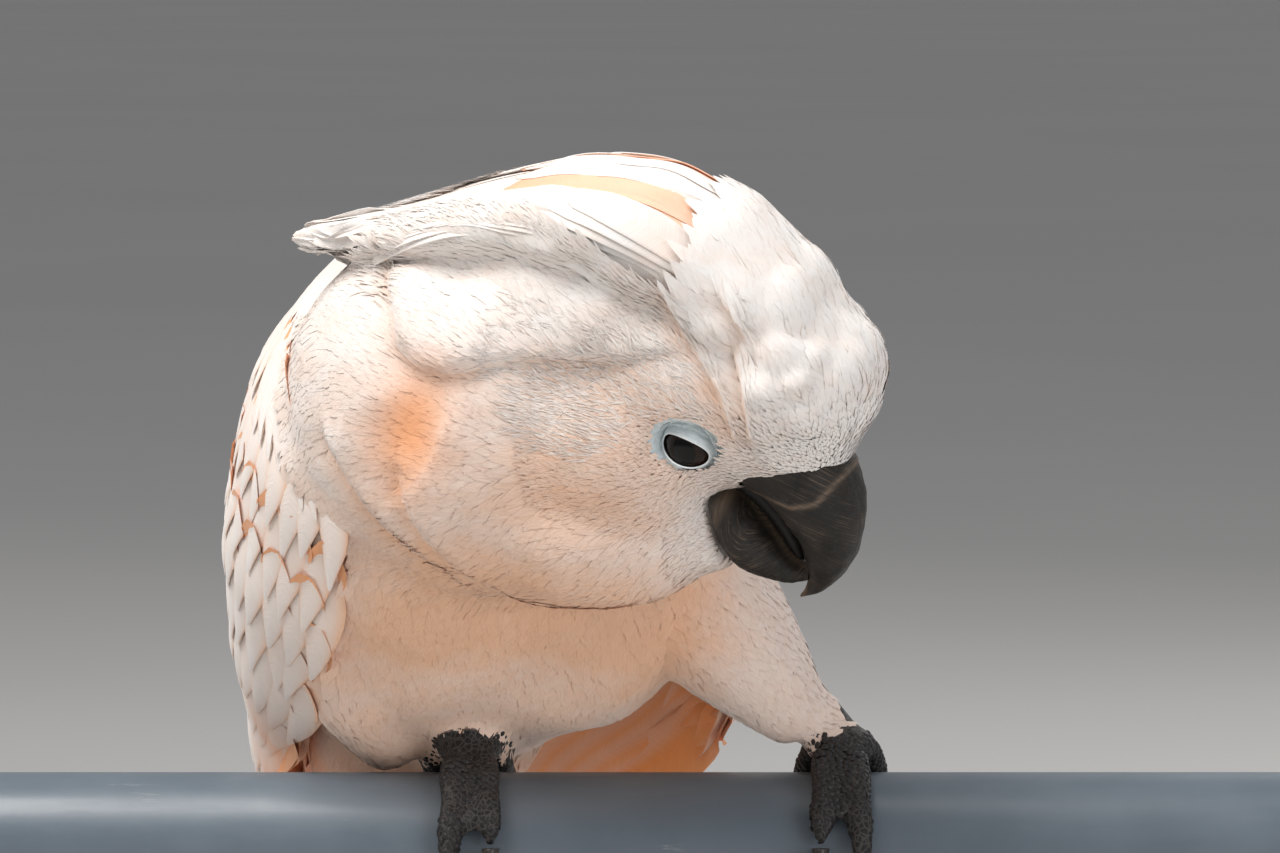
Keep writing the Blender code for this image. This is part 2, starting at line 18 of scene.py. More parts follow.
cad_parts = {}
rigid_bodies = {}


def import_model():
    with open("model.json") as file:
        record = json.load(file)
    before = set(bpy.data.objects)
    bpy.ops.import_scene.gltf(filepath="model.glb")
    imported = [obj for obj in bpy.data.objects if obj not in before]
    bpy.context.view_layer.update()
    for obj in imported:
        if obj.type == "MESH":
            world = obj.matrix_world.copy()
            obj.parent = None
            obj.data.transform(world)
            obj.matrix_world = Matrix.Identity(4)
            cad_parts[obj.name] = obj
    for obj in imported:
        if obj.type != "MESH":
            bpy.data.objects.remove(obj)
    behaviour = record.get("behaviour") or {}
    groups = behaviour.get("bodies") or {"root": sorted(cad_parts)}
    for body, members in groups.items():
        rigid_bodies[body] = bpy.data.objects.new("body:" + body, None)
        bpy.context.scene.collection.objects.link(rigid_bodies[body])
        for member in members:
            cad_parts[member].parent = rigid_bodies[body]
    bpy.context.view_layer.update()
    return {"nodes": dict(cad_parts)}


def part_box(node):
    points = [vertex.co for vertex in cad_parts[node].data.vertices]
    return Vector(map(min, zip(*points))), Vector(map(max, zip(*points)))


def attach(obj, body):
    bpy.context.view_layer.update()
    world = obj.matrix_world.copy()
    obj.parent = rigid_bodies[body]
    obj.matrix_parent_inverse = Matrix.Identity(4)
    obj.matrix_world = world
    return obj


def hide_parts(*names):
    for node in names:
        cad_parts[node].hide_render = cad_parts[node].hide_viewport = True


bl_info = {
    "name": "Museum Cockatoo",
    "version": (1, 0, 0),
    "blender": (4, 5, 0),
    "location": "3D View > Sidebar > Cockatoo",
    "description": "Builds the skin, plumage, horn, perch and stand of a life-size cockatoo",
    "category": "Object",
}

for leftover in list(bpy.data.objects):
    bpy.data.objects.remove(leftover)
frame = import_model()

MM = 0.001
SIDES = (("right", -1), ("left", 1))
TOES = ["inner_front", "inner_back", "outer_front", "outer_back"]
FLESH = ["head", "neck", "trunk"]
FLESH += [f"{part}_{side}" for part in ("thigh", "wing", "foot") for side, _ in SIDES]
FLESH += [f"toe_{side}_{toe}" for side, _ in SIDES for toe in TOES]
BAKE_PATCH = 0.003            # side of each tuft's patch on the bake map
TRIES_PER_CELL = 4.2          # how many roots are tried for each one that there is room for
shared = {}                   # what one operator leaves for the next, such as the skin and its unwrap


# ---- small sums
def unit(vectors):
    return vectors / np.maximum(np.linalg.norm(vectors, axis=-1, keepdims=True), 1e-12)


def smoothstep(value, low, high):
    share = np.clip((value - low) / (high - low), 0, 1)
    return share * share * (3 - 2 * share)


def bell(value):
    """1 where the value is 0, falling smoothly to 0 on both sides of it."""
    return np.exp(-(value**2))


def blob(points, middle, radii):
    """1 at the middle, falling smoothly to 0 beyond the radii."""
    return np.exp(-(((points - np.array(middle)) / radii) ** 2).sum(axis=1))


def circle(count):
    """Evenly spaced turns, once round."""
    return np.linspace(0, 2 * pi, count, endpoint=False)


def either_side(places):
    """The places with those on the right turned over to the left."""
    return places * (1, 0, 1) + np.abs(places) * (0, 1, 0)


def box_middle(node):
    low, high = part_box(node)
    return np.array((low + high) / 2)


def box_size(node):
    low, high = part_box(node)
    return np.array(high - low)


def flatten(vectors, normals):
    """The part of each vector that lies along the surface, as a unit vector."""
    return unit(vectors - normals * (vectors * normals).sum(-1, keepdims=True))


def bezier(points, share):
    """Points on the Bezier curve with these control points, one for each share."""
    points = [np.outer(np.ones_like(share), point) for point in points]
    share = share[:, None]
    while len(points) > 1:
        points = [a + (b - a) * share for a, b in zip(points, points[1:])]
    return points[0]


def ripple(points, pitch, seed):
    """A smooth, uneven value from -1 to 1 over space, whose hills are about a pitch apart."""
    phases = np.random.default_rng(seed).uniform(0, 2 * pi, (3, 4))
    turns = np.random.default_rng(seed + 1).normal(size=(4, 3))
    waves = points @ unit(turns).T * (2 * pi / pitch)
    return (np.sin(waves + phases[0]) * np.cos(waves[:, [1, 2, 3, 0]] * 0.73 + phases[1])).mean(axis=1) * 1.6


# ---- the bird's own frames
class Place:
    """A frame set in the world, which turns points to its own coordinates and back."""

    def __init__(self, origin, axes):
        self.origin = np.array(origin, float)
        self.axes = np.array(axes, float)

    def local(self, points):
        return (points - self.origin) @ self.axes.T

    def world(self, points):
        return np.asarray(points, float) @ self.axes + self.origin

    def turn(self, vectors):
        return np.asarray(vectors, float) @ self.axes


def level_axes(yaw):
    """Ahead, left and up of something that stands level and faces -Y, turned by yaw to its left."""
    return np.array([(sin(yaw), -cos(yaw), 0), (cos(yaw), sin(yaw), 0), (0, 0, 1)])


def head_place():
    yaw, pitch, roll = radians(72), radians(18), radians(20)
    ahead, left, up = level_axes(yaw)
    forward = ahead * cos(pitch) - up * sin(pitch)
    crown = ahead * sin(pitch) + up * cos(pitch)
    axes = (forward, left * cos(roll) + crown * sin(roll), crown * cos(roll) - left * sin(roll))
    return Place((box_middle("eye_right") + box_middle("eye_left")) / 2, axes)


def body_place():
    yaw, rise = radians(22), radians(50)
    ahead, left, up = level_axes(yaw)
    along = ahead * cos(rise) + up * sin(rise)
    return Place((-0.043, 0.006, 0.279), (np.cross(left, along), left, along))


HEAD = head_place()
BODY = body_place()
EYE_RADIUS = box_size("eye_right").max() / 2
EYE_SIDE = abs(HEAD.local(box_middle("eye_right"))[1])
BILL_ROOT = np.array((0.030, 0.0, -0.006))
RAIL_RADIUS = box_size("perch_rail")[2] / 2
RAIL_AXIS_HEIGHT = box_middle("perch_rail")[2]
RAIL_TOP = RAIL_AXIS_HEIGHT + RAIL_RADIUS
FOOT_SPOTS = {side: np.array((box_middle(f"foot_{side}")[0], 0.0, RAIL_TOP)) for side, _ in SIDES}


# ---- settings a user would change
def colour(name, description, default):
    return FloatVectorProperty(
        name=name, description=description, subtype="COLOR", size=3, min=0.0, max=1.0, default=default
    )


def length(name, description, default):
    return FloatProperty(
        name=name, description=description, unit="LENGTH", subtype="DISTANCE", default=default
    )


def number(name, description, default, **limits):
    return FloatProperty(name=name, description=description, default=default, **limits)


class PlumageSettings(bpy.types.PropertyGroup):
    white: colour("White", "Tips of the feathers", (0.86, 0.835, 0.815))
    # The salmon also carries painted shade on the lower breast, on the cheeks and in the coat's folds.
    salmon: colour("Salmon", "Flush over the breast and at the roots of the feathers", (0.86, 0.53, 0.35))
    flame: colour(
        "Flame", "Bright feathers inside the crest, behind the cheek and under the tail", (0.92, 0.36, 0.11)
    )
    dusk: colour("Dusk", "Grey down in the shaded hollows", (0.46, 0.40, 0.38))
    thickness: number("Thickness", "How close the tufts stand", 1.0, min=0.2, max=1.5)
    seed: IntProperty(name="Seed", description="Start of the order in which tufts are drawn", default=7)


class SkinSettings(bpy.types.PropertyGroup):
    bare: colour("Eye ring", "Bare skin round the eyes", (0.74, 0.80, 0.81))
    foot: colour("Foot skin", "Mealy grey skin of the feet", (0.013, 0.012, 0.012))
    foot_dust: colour("Foot dust", "Pale dust between the foot scales", (0.055, 0.050, 0.047))
    voxel: length("Voxel", "Grid of the skin", 1.9 * MM)
    scale_pitch: length("Scale pitch", "Distance between the scales of the feet", 1.55 * MM)


class HornSettings(bpy.types.PropertyGroup):
    bill: colour("Bill", "Dark horn of the bill", (0.011, 0.0095, 0.008))
    powder: colour("Powder", "Feather dust in the bill's scratches and along its edges", (0.21, 0.15, 0.105))
    claw: colour("Claw", "Horn of the claws", (0.020, 0.019, 0.020))
    iris: colour("Iris", "Brown of the iris", (0.009, 0.005, 0.003))


class PerchSettings(bpy.types.PropertyGroup):
    paint: colour("Rail paint", "Blue-grey paint of the rail", (0.120, 0.150, 0.180))
    plastic: colour("Cap plastic", "Plastic of the rail's end caps", (0.020, 0.020, 0.022))
    wood: colour("Base wood", "Stained wood of the base", (0.16, 0.085, 0.045))
    steel: colour("Rod steel", "Dark steel of the rods", (0.14, 0.14, 0.15))


class StageSettings(bpy.types.PropertyGroup):
    floor: colour("Floor", "Pale floor", (0.62, 0.61, 0.595))
    key_power: number("Key light", "Power of the large key light, in watts", 54.0)
    fill_power: number("Fill light", "Power of the fill light, in watts", 20.0)
    sky: number("Sky", "Strength of the even light from all round", 0.28)
    distance: length("Camera distance", "From the camera to the bird", 2.4)
    lens: number("Lens", "Focal length in millimetres", 243.0)


def settings(name):
    return getattr(bpy.context.scene, "cockatoo_" + name)


# ---- meshes
class Surface:
    """A triangle mesh that answers for many points at once."""

    def __init__(self, points, triangles):
        self.points = np.asarray(points, float)
        self.triangles = np.asarray(triangles, int)
        self.tree = BVHTree.FromPolygons(self.points.tolist(), self.triangles.tolist())
        corners = self.points[self.triangles]
        across = np.cross(corners[:, 1] - corners[:, 0], corners[:, 2] - corners[:, 0])
        self.areas = np.linalg.norm(across, axis=1) / 2
        sums = np.zeros_like(self.points)
        for corner in range(3):
            np.add.at(sums, self.triangles[:, corner], across)
        self.vertex_normals = unit(sums)
        self.normals = unit(self.vertex_normals[self.triangles].mean(axis=1))
        self.centres = corners.mean(axis=1)

    def nearest(self, queries):
        """The nearest point of the surface to each query, its smooth normal and its triangle."""
        found = [self.tree.find_nearest(query) for query in queries.tolist()]
        index = np.array([hit[2] for hit in found])
        return np.array([hit[0] for hit in found]), self.normals[index], index

    def cast(self, origin, direction):
        """Where a ray first meets the surface, or None."""
        return self.tree.ray_cast(Vector(origin), Vector(direction))[0]


def read(items, field, width, kind=np.float32):
    """A field of all the items of a mesh, as one row of numbers for each."""
    values = np.empty(len(items) * width, kind)
    items.foreach_get(field, values)
    return values.reshape(-1, width)


def mesh_arrays(mesh):
    """A mesh's points, triangles and edges."""
    mesh.calc_loop_triangles()
    triangles = read(mesh.loop_triangles, "vertices", 3, np.int32)
    return read(mesh.vertices, "co", 3, float), triangles, read(mesh.edges, "vertices", 2, np.int32)


def welded(node):
    """A frame node's solid with its doubled points joined."""
    shape = bmesh.new()
    shape.from_mesh(frame["nodes"][node].data)
    bmesh.ops.remove_doubles(shape, verts=shape.verts, dist=1e-6)
    return shape


def node_surface(*nodes):
    """The welded surface of some of the frame's nodes, and the name of each triangle's node."""
    points, triangles, names = [], [], []
    for node in nodes:
        shape = welded(node)
        bmesh.ops.triangulate(shape, faces=shape.faces)
        start = len(points)
        points += [vert.co[:] for vert in shape.verts]
        triangles += [[vert.index + start for vert in face.verts] for face in shape.faces]
        names += [node] * len(shape.faces)
        shape.free()
    return Surface(points, triangles), np.array(names)


def relaxed(values, edges, strength, rounds):
    """Values at the vertices, drawn some rounds over towards their neighbours' mean, each by its strength."""
    count = len(values)
    flat = values.reshape(count, -1).copy()
    degree = np.bincount(edges.ravel(), minlength=count)[:, None]
    strength = np.broadcast_to(strength, count)[:, None]
    for _ in range(rounds):
        total = np.empty_like(flat)
        for column in range(flat.shape[1]):
            to_first = np.bincount(edges[:, 0], flat[edges[:, 1], column], count)
            total[:, column] = to_first + np.bincount(edges[:, 1], flat[edges[:, 0], column], count)
        flat += (total / np.maximum(degree, 1) - flat) * strength
    return flat.reshape(values.shape)


def new_mesh(name, points, faces):
    """A smooth mesh whose faces all have the same number of corners."""
    faces = np.asarray(faces, np.int32)
    count, corners = faces.shape
    mesh = bpy.data.meshes.new(name)
    mesh.vertices.add(len(points))
    mesh.vertices.foreach_set("co", np.asarray(points, np.float32).ravel())
    mesh.loops.add(count * corners)
    mesh.loops.foreach_set("vertex_index", faces.ravel())
    mesh.polygons.add(count)
    mesh.polygons.foreach_set("loop_start", np.arange(count, dtype=np.int32) * corners)
    mesh.update(calc_edges=True)
    mesh.shade_smooth()
    return mesh


def repeated(faces, count, points_each):
    """The faces of one small shape, for as many of them as there are in a joined mesh."""
    return (faces[None] + (np.arange(count) * points_each)[:, None, None]).reshape(-1, faces.shape[1])


def set_uv(mesh, name, per_vertex):
    """Adds a UV map that holds one place for each vertex."""
    index = read(mesh.loops, "vertex_index", 1, np.int32)[:, 0]
    per_vertex = np.asarray(per_vertex, np.float32).reshape(-1, 2)
    mesh.uv_layers.new(name=name).uv.foreach_set("vector", per_vertex[index].ravel())


def set_colour(mesh, name, values):
    values = np.reshape(values, (-1, 3))
    attribute = mesh.attributes.new(name, "FLOAT_COLOR", "POINT")
    attribute.data.foreach_set("color", np.insert(values, 3, 1.0, axis=1).astype(np.float32).ravel())


def set_number(mesh, name, values):
    attribute = mesh.attributes.new(name, "FLOAT", "POINT")
    attribute.data.foreach_set("value", np.asarray(values, np.float32).ravel())


def link(name, mesh, material, nodes=()):
    """Puts a finished piece in the scene: on its body, with its finish, in the place of its nodes."""
    piece = bpy.data.objects.new(name, mesh)
    bpy.context.scene.collection.objects.link(piece)
    mesh.materials.append(material)
    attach(piece, "root")
    if nodes:
        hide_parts(*nodes)
    return piece


def ring_faces(steps, around):
    """The four-sided faces between rings of equally many points."""
    numbers = np.arange(steps * around).reshape(steps, around)
    turned = np.roll(numbers, -1, axis=1)
    return np.stack([numbers[:-1], turned[:-1], turned[1:], numbers[1:]], axis=-1).reshape(-1, 4)


def ring_mesh(name, rings, close=True):
    """A closed skin over rings of equally many points, with a cap on each end."""
    rings = np.asarray(rings, float)
    steps, around = rings.shape[:2]
    mesh = bpy.data.meshes.new(name)
    faces = ring_faces(steps, around).tolist()
    if close:
        faces.append(list(range(around))[::-1])
        faces.append(list(range((steps - 1) * around, steps * around)))
    mesh.from_pydata(rings.reshape(-1, 3).tolist(), [], faces)
    shape = bmesh.new()
    shape.from_mesh(mesh)
    if close and shape.calc_volume(signed=True) < 0:
        bmesh.ops.reverse_faces(shape, faces=shape.faces)
    shape.to_mesh(mesh)
    shape.free()
    mesh.shade_smooth()
    mesh.set_sharp_from_angle(angle=radians(50))
    return mesh


def turned_mesh(name, profile, around=64, start=(0, 0, 0), axis="Z"):
    """A lathe-turned solid: the profile's (radius, height) points turned round an axis through start."""
    turn = circle(around)
    rings = [np.stack([radius * np.cos(turn), radius * np.sin(turn), np.full(around, height)], axis=1)
             for radius, height in profile]
    order = [2, 0, 1] if axis == "X" else [0, 1, 2]
    return ring_mesh(name, np.array(rings)[..., order] + np.array(start))


def rounded_edge(radius, height, size, steps=5):
    """Profile points of a rounded outer edge whose corner would stand at radius and height."""
    turns = np.linspace(0, pi / 2, steps)
    return [(radius - size * (1 - cos(turn)), height - size * (1 - sin(turn))) for turn in turns]


# ---- materials
class Paint:
    """Builds one material from short calls, each of which adds a node and returns its output."""

    def __init__(self, name):
        self.material = bpy.data.materials.new(name)
        self.material.use_nodes = True
        self.tree = self.material.node_tree
        self.shader = self.tree.nodes["Principled BSDF"]

    def node(self, kind, inputs, **fields):
        """A new node, with its fields set and its inputs fed."""
        made = self.tree.nodes.new("ShaderNode" + kind)
        for name, value in fields.items():
            setattr(made, name, value)
        for name, value in inputs.items():
            self.feed(made.inputs[name], value)
        return made

    def feed(self, socket, value):
        if isinstance(value, bpy.types.NodeSocket):
            self.tree.links.new(value, socket)
        elif hasattr(value, "__len__") and len(value) == 3 and socket.type == "RGBA":
            socket.default_value = (*value, 1.0)
        else:
            socket.default_value = value

    def finish(self, **inputs):
        """Feeds the shader's own inputs and returns the finished material."""
        for name, value in inputs.items():
            self.feed(self.shader.inputs[name.replace("_", " ").title().replace("Ior", "IOR")], value)
        return self.material

    def place(self):
        return self.node("NewGeometry", {}).outputs["Position"]

    def uv(self, name):
        return self.node("UVMap", {}, uv_map=name).outputs["UV"]

    def stored(self, name, output="Fac"):
        return self.node("Attribute", {}, attribute_name=name).outputs[output]

    def weights(self, name):
        return self.node("SeparateColor", {"Color": self.stored(name, "Color")}).outputs

    def noise(self, where, scale, detail=3.0, stretch=(1, 1, 1), roughness=0.55):
        mapped = self.node("Mapping", {"Vector": where, "Scale": stretch}).outputs["Vector"]
        inputs = {"Vector": mapped, "Scale": scale, "Detail": detail, "Roughness": roughness}
        return self.node("TexNoise", inputs).outputs["Fac"]

    def cell_edges(self, where, scale):
        inputs = {"Vector": where, "Scale": scale}
        return self.node("TexVoronoi", inputs, feature="DISTANCE_TO_EDGE").outputs["Distance"]

    def span(self, value, low, high, to_low=0.0, to_high=1.0):
        """The value's place between low and high, turned to one between to_low and to_high."""
        inputs = {"Value": value, "From Min": low, "From Max": high, "To Min": to_low, "To Max": to_high}
        return self.node("MapRange", inputs, interpolation_type="SMOOTHSTEP").outputs["Result"]

    def math(self, operation, *values):
        return self.node("Math", dict(enumerate(values)), operation=operation).outputs["Value"]

    def times(self, first, second):
        return self.math("MULTIPLY", first, second)

    def mix(self, share, first, second, blend="MIX"):
        inputs = {0: share, 6: first, 7: second}
        return self.node("Mix", inputs, data_type="RGBA", blend_type=blend).outputs[2]

    def shade(self, colour, *factors):
        """The colour with its channels multiplied by three factors."""
        return self.mix(1.0, colour, factors, "MULTIPLY")

    def vary(self, noise, colour, *factors, low=0.3, high=0.7):
        """The colour, going over to its shade where the noise is high."""
        return self.mix(self.span(noise, low, high), colour, self.shade(colour, *factors))

    def bump(self, height, distance, strength, **under):
        inputs = {"Strength": strength, "Distance": distance, "Height": height, **under}
        return self.node("Bump", inputs).outputs["Normal"]


def plumage_colour(paint):
    """The colours that the skin and the coat share, mixed by the weights in Plumage."""
    tints = settings("plumage")
    mixed = tints.white
    for weight, tint in zip(paint.weights("Plumage"), (tints.salmon, tints.flame, tints.dusk)):
        mixed = paint.mix(weight, mixed, tint)
    return mixed


def feather_material(name, bump=0.00022, roughness=0.62, streak=0.2):
    """Feather whose barbs run along the Barbs map. Streak is how much painted shade darkens the gaps between
    them.
    """
    paint = Paint(name)
    barbs = paint.noise(paint.uv("Barbs"), 1.0, detail=2.0, stretch=(1, 0.16, 1))
    clouds = paint.noise(paint.place(), 90.0, detail=2.0)
    # Painted shade: the gaps between the barbs are drawn darker and warmer.
    gaps = (1 - 0.22 * streak, 1 - 0.30 * streak, 1 - 0.36 * streak)
    barb_gap_shade = paint.mix(paint.span(barbs, 0.32, 0.62), gaps, (1.0, 1.0, 1.0))
    base = paint.mix(1.0, plumage_colour(paint), barb_gap_shade, "MULTIPLY")
    base = paint.mix(paint.span(clouds, 0.35, 0.65, 0.0, 0.5), base, paint.shade(base, 0.955, 0.93, 0.91))
    return paint.finish(
        base_color=base, roughness=paint.span(barbs, 0.2, 0.8, roughness - 0.08, roughness + 0.1),
        normal=paint.bump(barbs, bump, 0.75), sheen_weight=0.25, sheen_roughness=0.5, specular_ior_level=0.25
    )


def skin_material():
    """Skin under the coat, bare wrinkled skin round the eyes and mealy scales on the feet."""
    bare = settings("skin")
    paint = Paint("skin")
    ring_weight, foot_weight, edge_weight = paint.weights("Bare")
    place = paint.place()
    fine = paint.noise(place, 900.0, detail=4.0)
    broad = paint.noise(place, 150.0)
    scales = paint.cell_edges(place, 620.0)
    dust = paint.mix(paint.span(scales, 0.03, 0.16), bare.foot_dust, bare.foot)
    dust = paint.mix(paint.span(broad, 0.5, 0.75, 0.0, 0.45), dust, bare.foot_dust)
    ring = paint.mix(paint.span(fine, 0.3, 0.7), paint.shade(bare.bare, 0.80, 0.82, 0.84), bare.bare)
    ring = paint.mix(paint.times(edge_weight, 0.85), ring, (0.88, 0.90, 0.90))
    mixed = paint.mix(ring_weight, plumage_colour(paint), ring)
    mixed = paint.mix(foot_weight, mixed, dust)
    under = paint.bump(fine, 0.00012, 0.5)
    return paint.finish(
        base_color=mixed, roughness=paint.span(fine, 0.2, 0.8, 0.48, 0.68), specular_ior_level=0.3,
        normal=paint.bump(paint.times(scales, foot_weight), 0.0005, 0.8, Normal=under)
    )


def scale_material():
    """Foot scales: dark horny middles that pale to dust at their edges."""
    bare = settings("skin")
    paint = Paint("foot_scale")
    fine = paint.noise(paint.place(), 1400.0, detail=4.0)
    patches = paint.noise(paint.place(), 210.0)
    edge = paint.times(paint.span(paint.stored("Edge"), 0.45, 1.0), paint.span(patches, 0.3, 0.6))
    base = paint.mix(edge, paint.vary(fine, bare.foot, 1.7, 1.65, 1.7), bare.foot_dust)
    return paint.finish(
        base_color=base, roughness=paint.span(fine, 0.2, 0.8, 0.42, 0.66),
        normal=paint.bump(fine, 0.00012, 0.5), specular_ior_level=0.4
    )


def bill_material():
    """Dark bill: fine scratches along its growth, powder in them, and pale worn rims."""
    horn = settings("horn")
    paint = Paint("bill_horn")
    scratches = paint.noise(paint.uv("Grain"), 1.0, detail=5.0, stretch=(1.0, 0.10, 1), roughness=0.65)
    speckle = paint.noise(paint.place(), 1100.0, detail=4.0, roughness=0.7)
    clouds = paint.noise(paint.place(), 130.0)
    powder = paint.times(paint.span(scratches, 0.50, 0.70), paint.span(clouds, 0.35, 0.62, 0.15, 0.72))
    powder = paint.math("MAXIMUM", powder, paint.times(paint.span(speckle, 0.60, 0.78), 0.55))
    rim = paint.times(paint.stored("Rim"), paint.span(scratches, 0.32, 0.60, 0.15, 1.0))
    powder = paint.math("MAXIMUM", powder, rim)
    base = paint.mix(powder, paint.vary(clouds, horn.bill, 1.9, 1.75, 1.7), horn.powder)
    under = paint.bump(scratches, 0.00030, 0.7)
    return paint.finish(
        base_color=base, roughness=paint.span(scratches, 0.3, 0.7, 0.40, 0.66),
        normal=paint.bump(speckle, 0.00012, 0.5, Normal=under), specular_ior_level=0.30
    )


def tongue_material():
    """Dark grey, wet tongue."""
    paint = Paint("tongue")
    fine = paint.noise(paint.place(), 1500.0)
    return paint.finish(
        base_color=paint.mix(paint.span(fine, 0.3, 0.7), (0.006, 0.005, 0.005), (0.014, 0.011, 0.010)),
        roughness=paint.span(fine, 0.2, 0.8, 0.48, 0.66), normal=paint.bump(fine, 0.0002, 0.6),
        specular_ior_level=0.3
    )


def claw_material():
    horn = settings("horn")
    paint = Paint("claw_horn")
    streaks = paint.noise(paint.uv("Grain"), 1.0, detail=4.0, stretch=(1.0, 0.12, 1))
    return paint.finish(
        base_color=paint.mix(paint.span(streaks, 0.4, 0.75, 0.0, 0.7), horn.claw, horn.powder),
        roughness=paint.span(streaks, 0.3, 0.7, 0.28, 0.5), normal=paint.bump(streaks, 0.0001, 0.6),
        specular_ior_level=0.5
    )


def eye_material():
    """Wet eye: a black pupil in a dark brown iris, with a black rim and dusky white beyond it."""
    paint = Paint("eye")
    turn = paint.stored("Gaze")
    fibres = paint.noise(paint.uv("Iris"), 1.0, detail=4.0, stretch=(26.0, 1.6, 1))
    iris = paint.vary(fibres, settings("horn").iris, 2.4, 2.1, 1.8)
    base = paint.mix(paint.span(turn, 0.30, 0.34), (0.002, 0.002, 0.002), iris)
    base = paint.mix(paint.span(turn, 0.60, 0.70), base, (0.004, 0.003, 0.003))
    base = paint.mix(paint.span(turn, 0.90, 1.0), base, (0.12, 0.085, 0.075))
    return paint.finish(
        base_color=base, roughness=paint.span(fibres, 0.2, 0.8, 0.16, 0.24),
        coat_weight=0.20, coat_roughness=0.03, specular_ior_level=0.12
    )


def rail_material():
    paint = Paint("rail_paint")
    place = paint.place()
    peel = paint.noise(place, 520.0, detail=2.0)
    patches = paint.noise(place, 38.0, detail=5.0)
    scuffs = paint.noise(place, 160.0, detail=6.0, stretch=(0.12, 1, 1), roughness=0.7)
    worn = paint.times(paint.span(scuffs, 0.62, 0.74), paint.span(patches, 0.42, 0.6))
    base = paint.vary(patches, settings("perch").paint, 0.88, 0.89, 0.90, low=0.35, high=0.68)
    return paint.finish(
        base_color=paint.mix(worn, base, (0.34, 0.35, 0.37)),
        roughness=paint.span(scuffs, 0.3, 0.7, 0.30, 0.48),
        normal=paint.bump(peel, 0.00008, 0.35), coat_weight=0.25, coat_roughness=0.25
    )


def plastic_material():
    paint = Paint("cap_plastic")
    grain = paint.noise(paint.place(), 1500.0, detail=2.0)
    fade = paint.noise(paint.place(), 60.0)
    return paint.finish(
        base_color=paint.vary(fade, settings("perch").plastic, 1.6, 1.6, 1.6),
        roughness=paint.span(fade, 0.3, 0.7, 0.42, 0.58), normal=paint.bump(grain, 0.00006, 0.5)
    )


def wood_material():
    """Stained wood whose grain runs along X."""
    wood = settings("perch").wood
    paint = Paint("base_wood")
    place = paint.place()
    warp = paint.noise(place, 16.0, detail=2.0, stretch=(0.35, 1, 1))
    grain = paint.noise(place, 210.0, detail=6.0, stretch=(0.045, 1, 1), roughness=0.62)
    bands = paint.span(paint.math("SINE", paint.times(warp, 62.0)), -1.0, 1.0)
    base = paint.mix(bands, paint.shade(wood, 0.62, 0.58, 0.55), wood)
    base = paint.mix(paint.span(grain, 0.35, 0.7, 0.0, 0.75), base, paint.shade(base, 0.45, 0.42, 0.40))
    return paint.finish(
        base_color=base, roughness=paint.span(grain, 0.3, 0.7, 0.30, 0.46),
        normal=paint.bump(grain, 0.0001, 0.4), coat_weight=0.3, coat_roughness=0.2
    )


def steel_material():
    paint = Paint("rod_steel")
    brushed = paint.noise(paint.place(), 700.0, detail=4.0, stretch=(1, 1, 0.04))
    smears = paint.noise(paint.place(), 70.0)
    return paint.finish(
        base_color=paint.vary(smears, settings("perch").steel, 1.35, 1.33, 1.3), metallic=0.85,
        roughness=paint.span(brushed, 0.3, 0.7, 0.28, 0.42), normal=paint.bump(brushed, 0.00003, 0.4)
    )


def floor_material():
    paint = Paint("floor")
    clouds = paint.noise(paint.place(), 1.1, detail=4.0)
    grain = paint.noise(paint.place(), 260.0)
    return paint.finish(
        base_color=paint.vary(clouds, settings("stage").floor, 0.965, 0.965, 0.97),
        roughness=paint.span(grain, 0.3, 0.7, 0.72, 0.84), normal=paint.bump(grain, 0.0002, 0.2)
    )


# ---- markings and lie
# Soft patches of colour over the head, each as its middle and its radii in the head's frame. Y is to either
# side, and an endless radius leaves that direction out.
# The cheek patch is partly the bird's own blush and partly painted shade.
CHEEK_BLUSH_AND_SHADE = (-0.030, 0, -0.022), (0.040, inf, 0.026)
BROW_BLUSH = (-0.016, 0, 0.012), (0.030, inf, 0.012)
EAR_FLAME = (-0.074, 0.040, -0.013), (0.012, 0.014, 0.020)
LORE_DUSK = (0.022, 0, 0.001), (0.012, inf, 0.007)


def markings(points):
    """How much salmon, flame and dusk the skin and the coat show at each point."""
    head, body = either_side(HEAD.local(points)), BODY.local(points)
    ahead, side, up = head.T
    # The breast's salmon and its deepening towards the bottom (below) are partly the bird's flush, partly
    # painted shade.
    breast = smoothstep(body[:, 0], -0.005, 0.050) * smoothstep(-up, 0.030, 0.060)
    breast *= 1 - 0.60 * smoothstep(np.abs(body[:, 1]), 0.034, 0.064)
    below = smoothstep(-points[:, 2], -0.262, -0.225) * smoothstep(body[:, 0], -0.03, 0.02)
    # The cheek's salmon is partly blush, partly painted shade.
    cheek = blob(head, *CHEEK_BLUSH_AND_SHADE) * smoothstep(side, 0.012, 0.024)
    brow = blob(head, *BROW_BLUSH) * smoothstep(side, 0.010, 0.020)
    salmon = 0.05 + 0.90 * breast + 0.30 * below + 0.70 * cheek + 0.34 * brow
    salmon += 0.16 * smoothstep(-ahead, 0.060, 0.085) * smoothstep(-up, -0.010, 0.020)
    # Salmon just outside the folds: partly the under layer's colour, partly painted shade in the crease.
    salmon += 0.10 * ripple(points, 0.021, 3) + 0.06 * ripple(points, 0.008, 5) + 0.38 * crease_shade(points)
    salmon *= 1 - 0.45 * smoothstep(-to_feet(points).min(axis=1), -0.070, -0.040)
    rump = smoothstep(-body[:, 2], 0.060, 0.105) * smoothstep(body[:, 0], -0.022, 0.004)
    flame = 0.80 * blob(head, *EAR_FLAME) + 0.62 * rump * (0.75 + 0.45 * ripple(points, 0.012, 9))
    dusk = 0.22 * blob(head, *LORE_DUSK) * smoothstep(ripple(points, 0.0035, 11), -0.1, 0.7)
    return np.clip(np.stack([salmon, flame, dusk], axis=1), 0, 1)


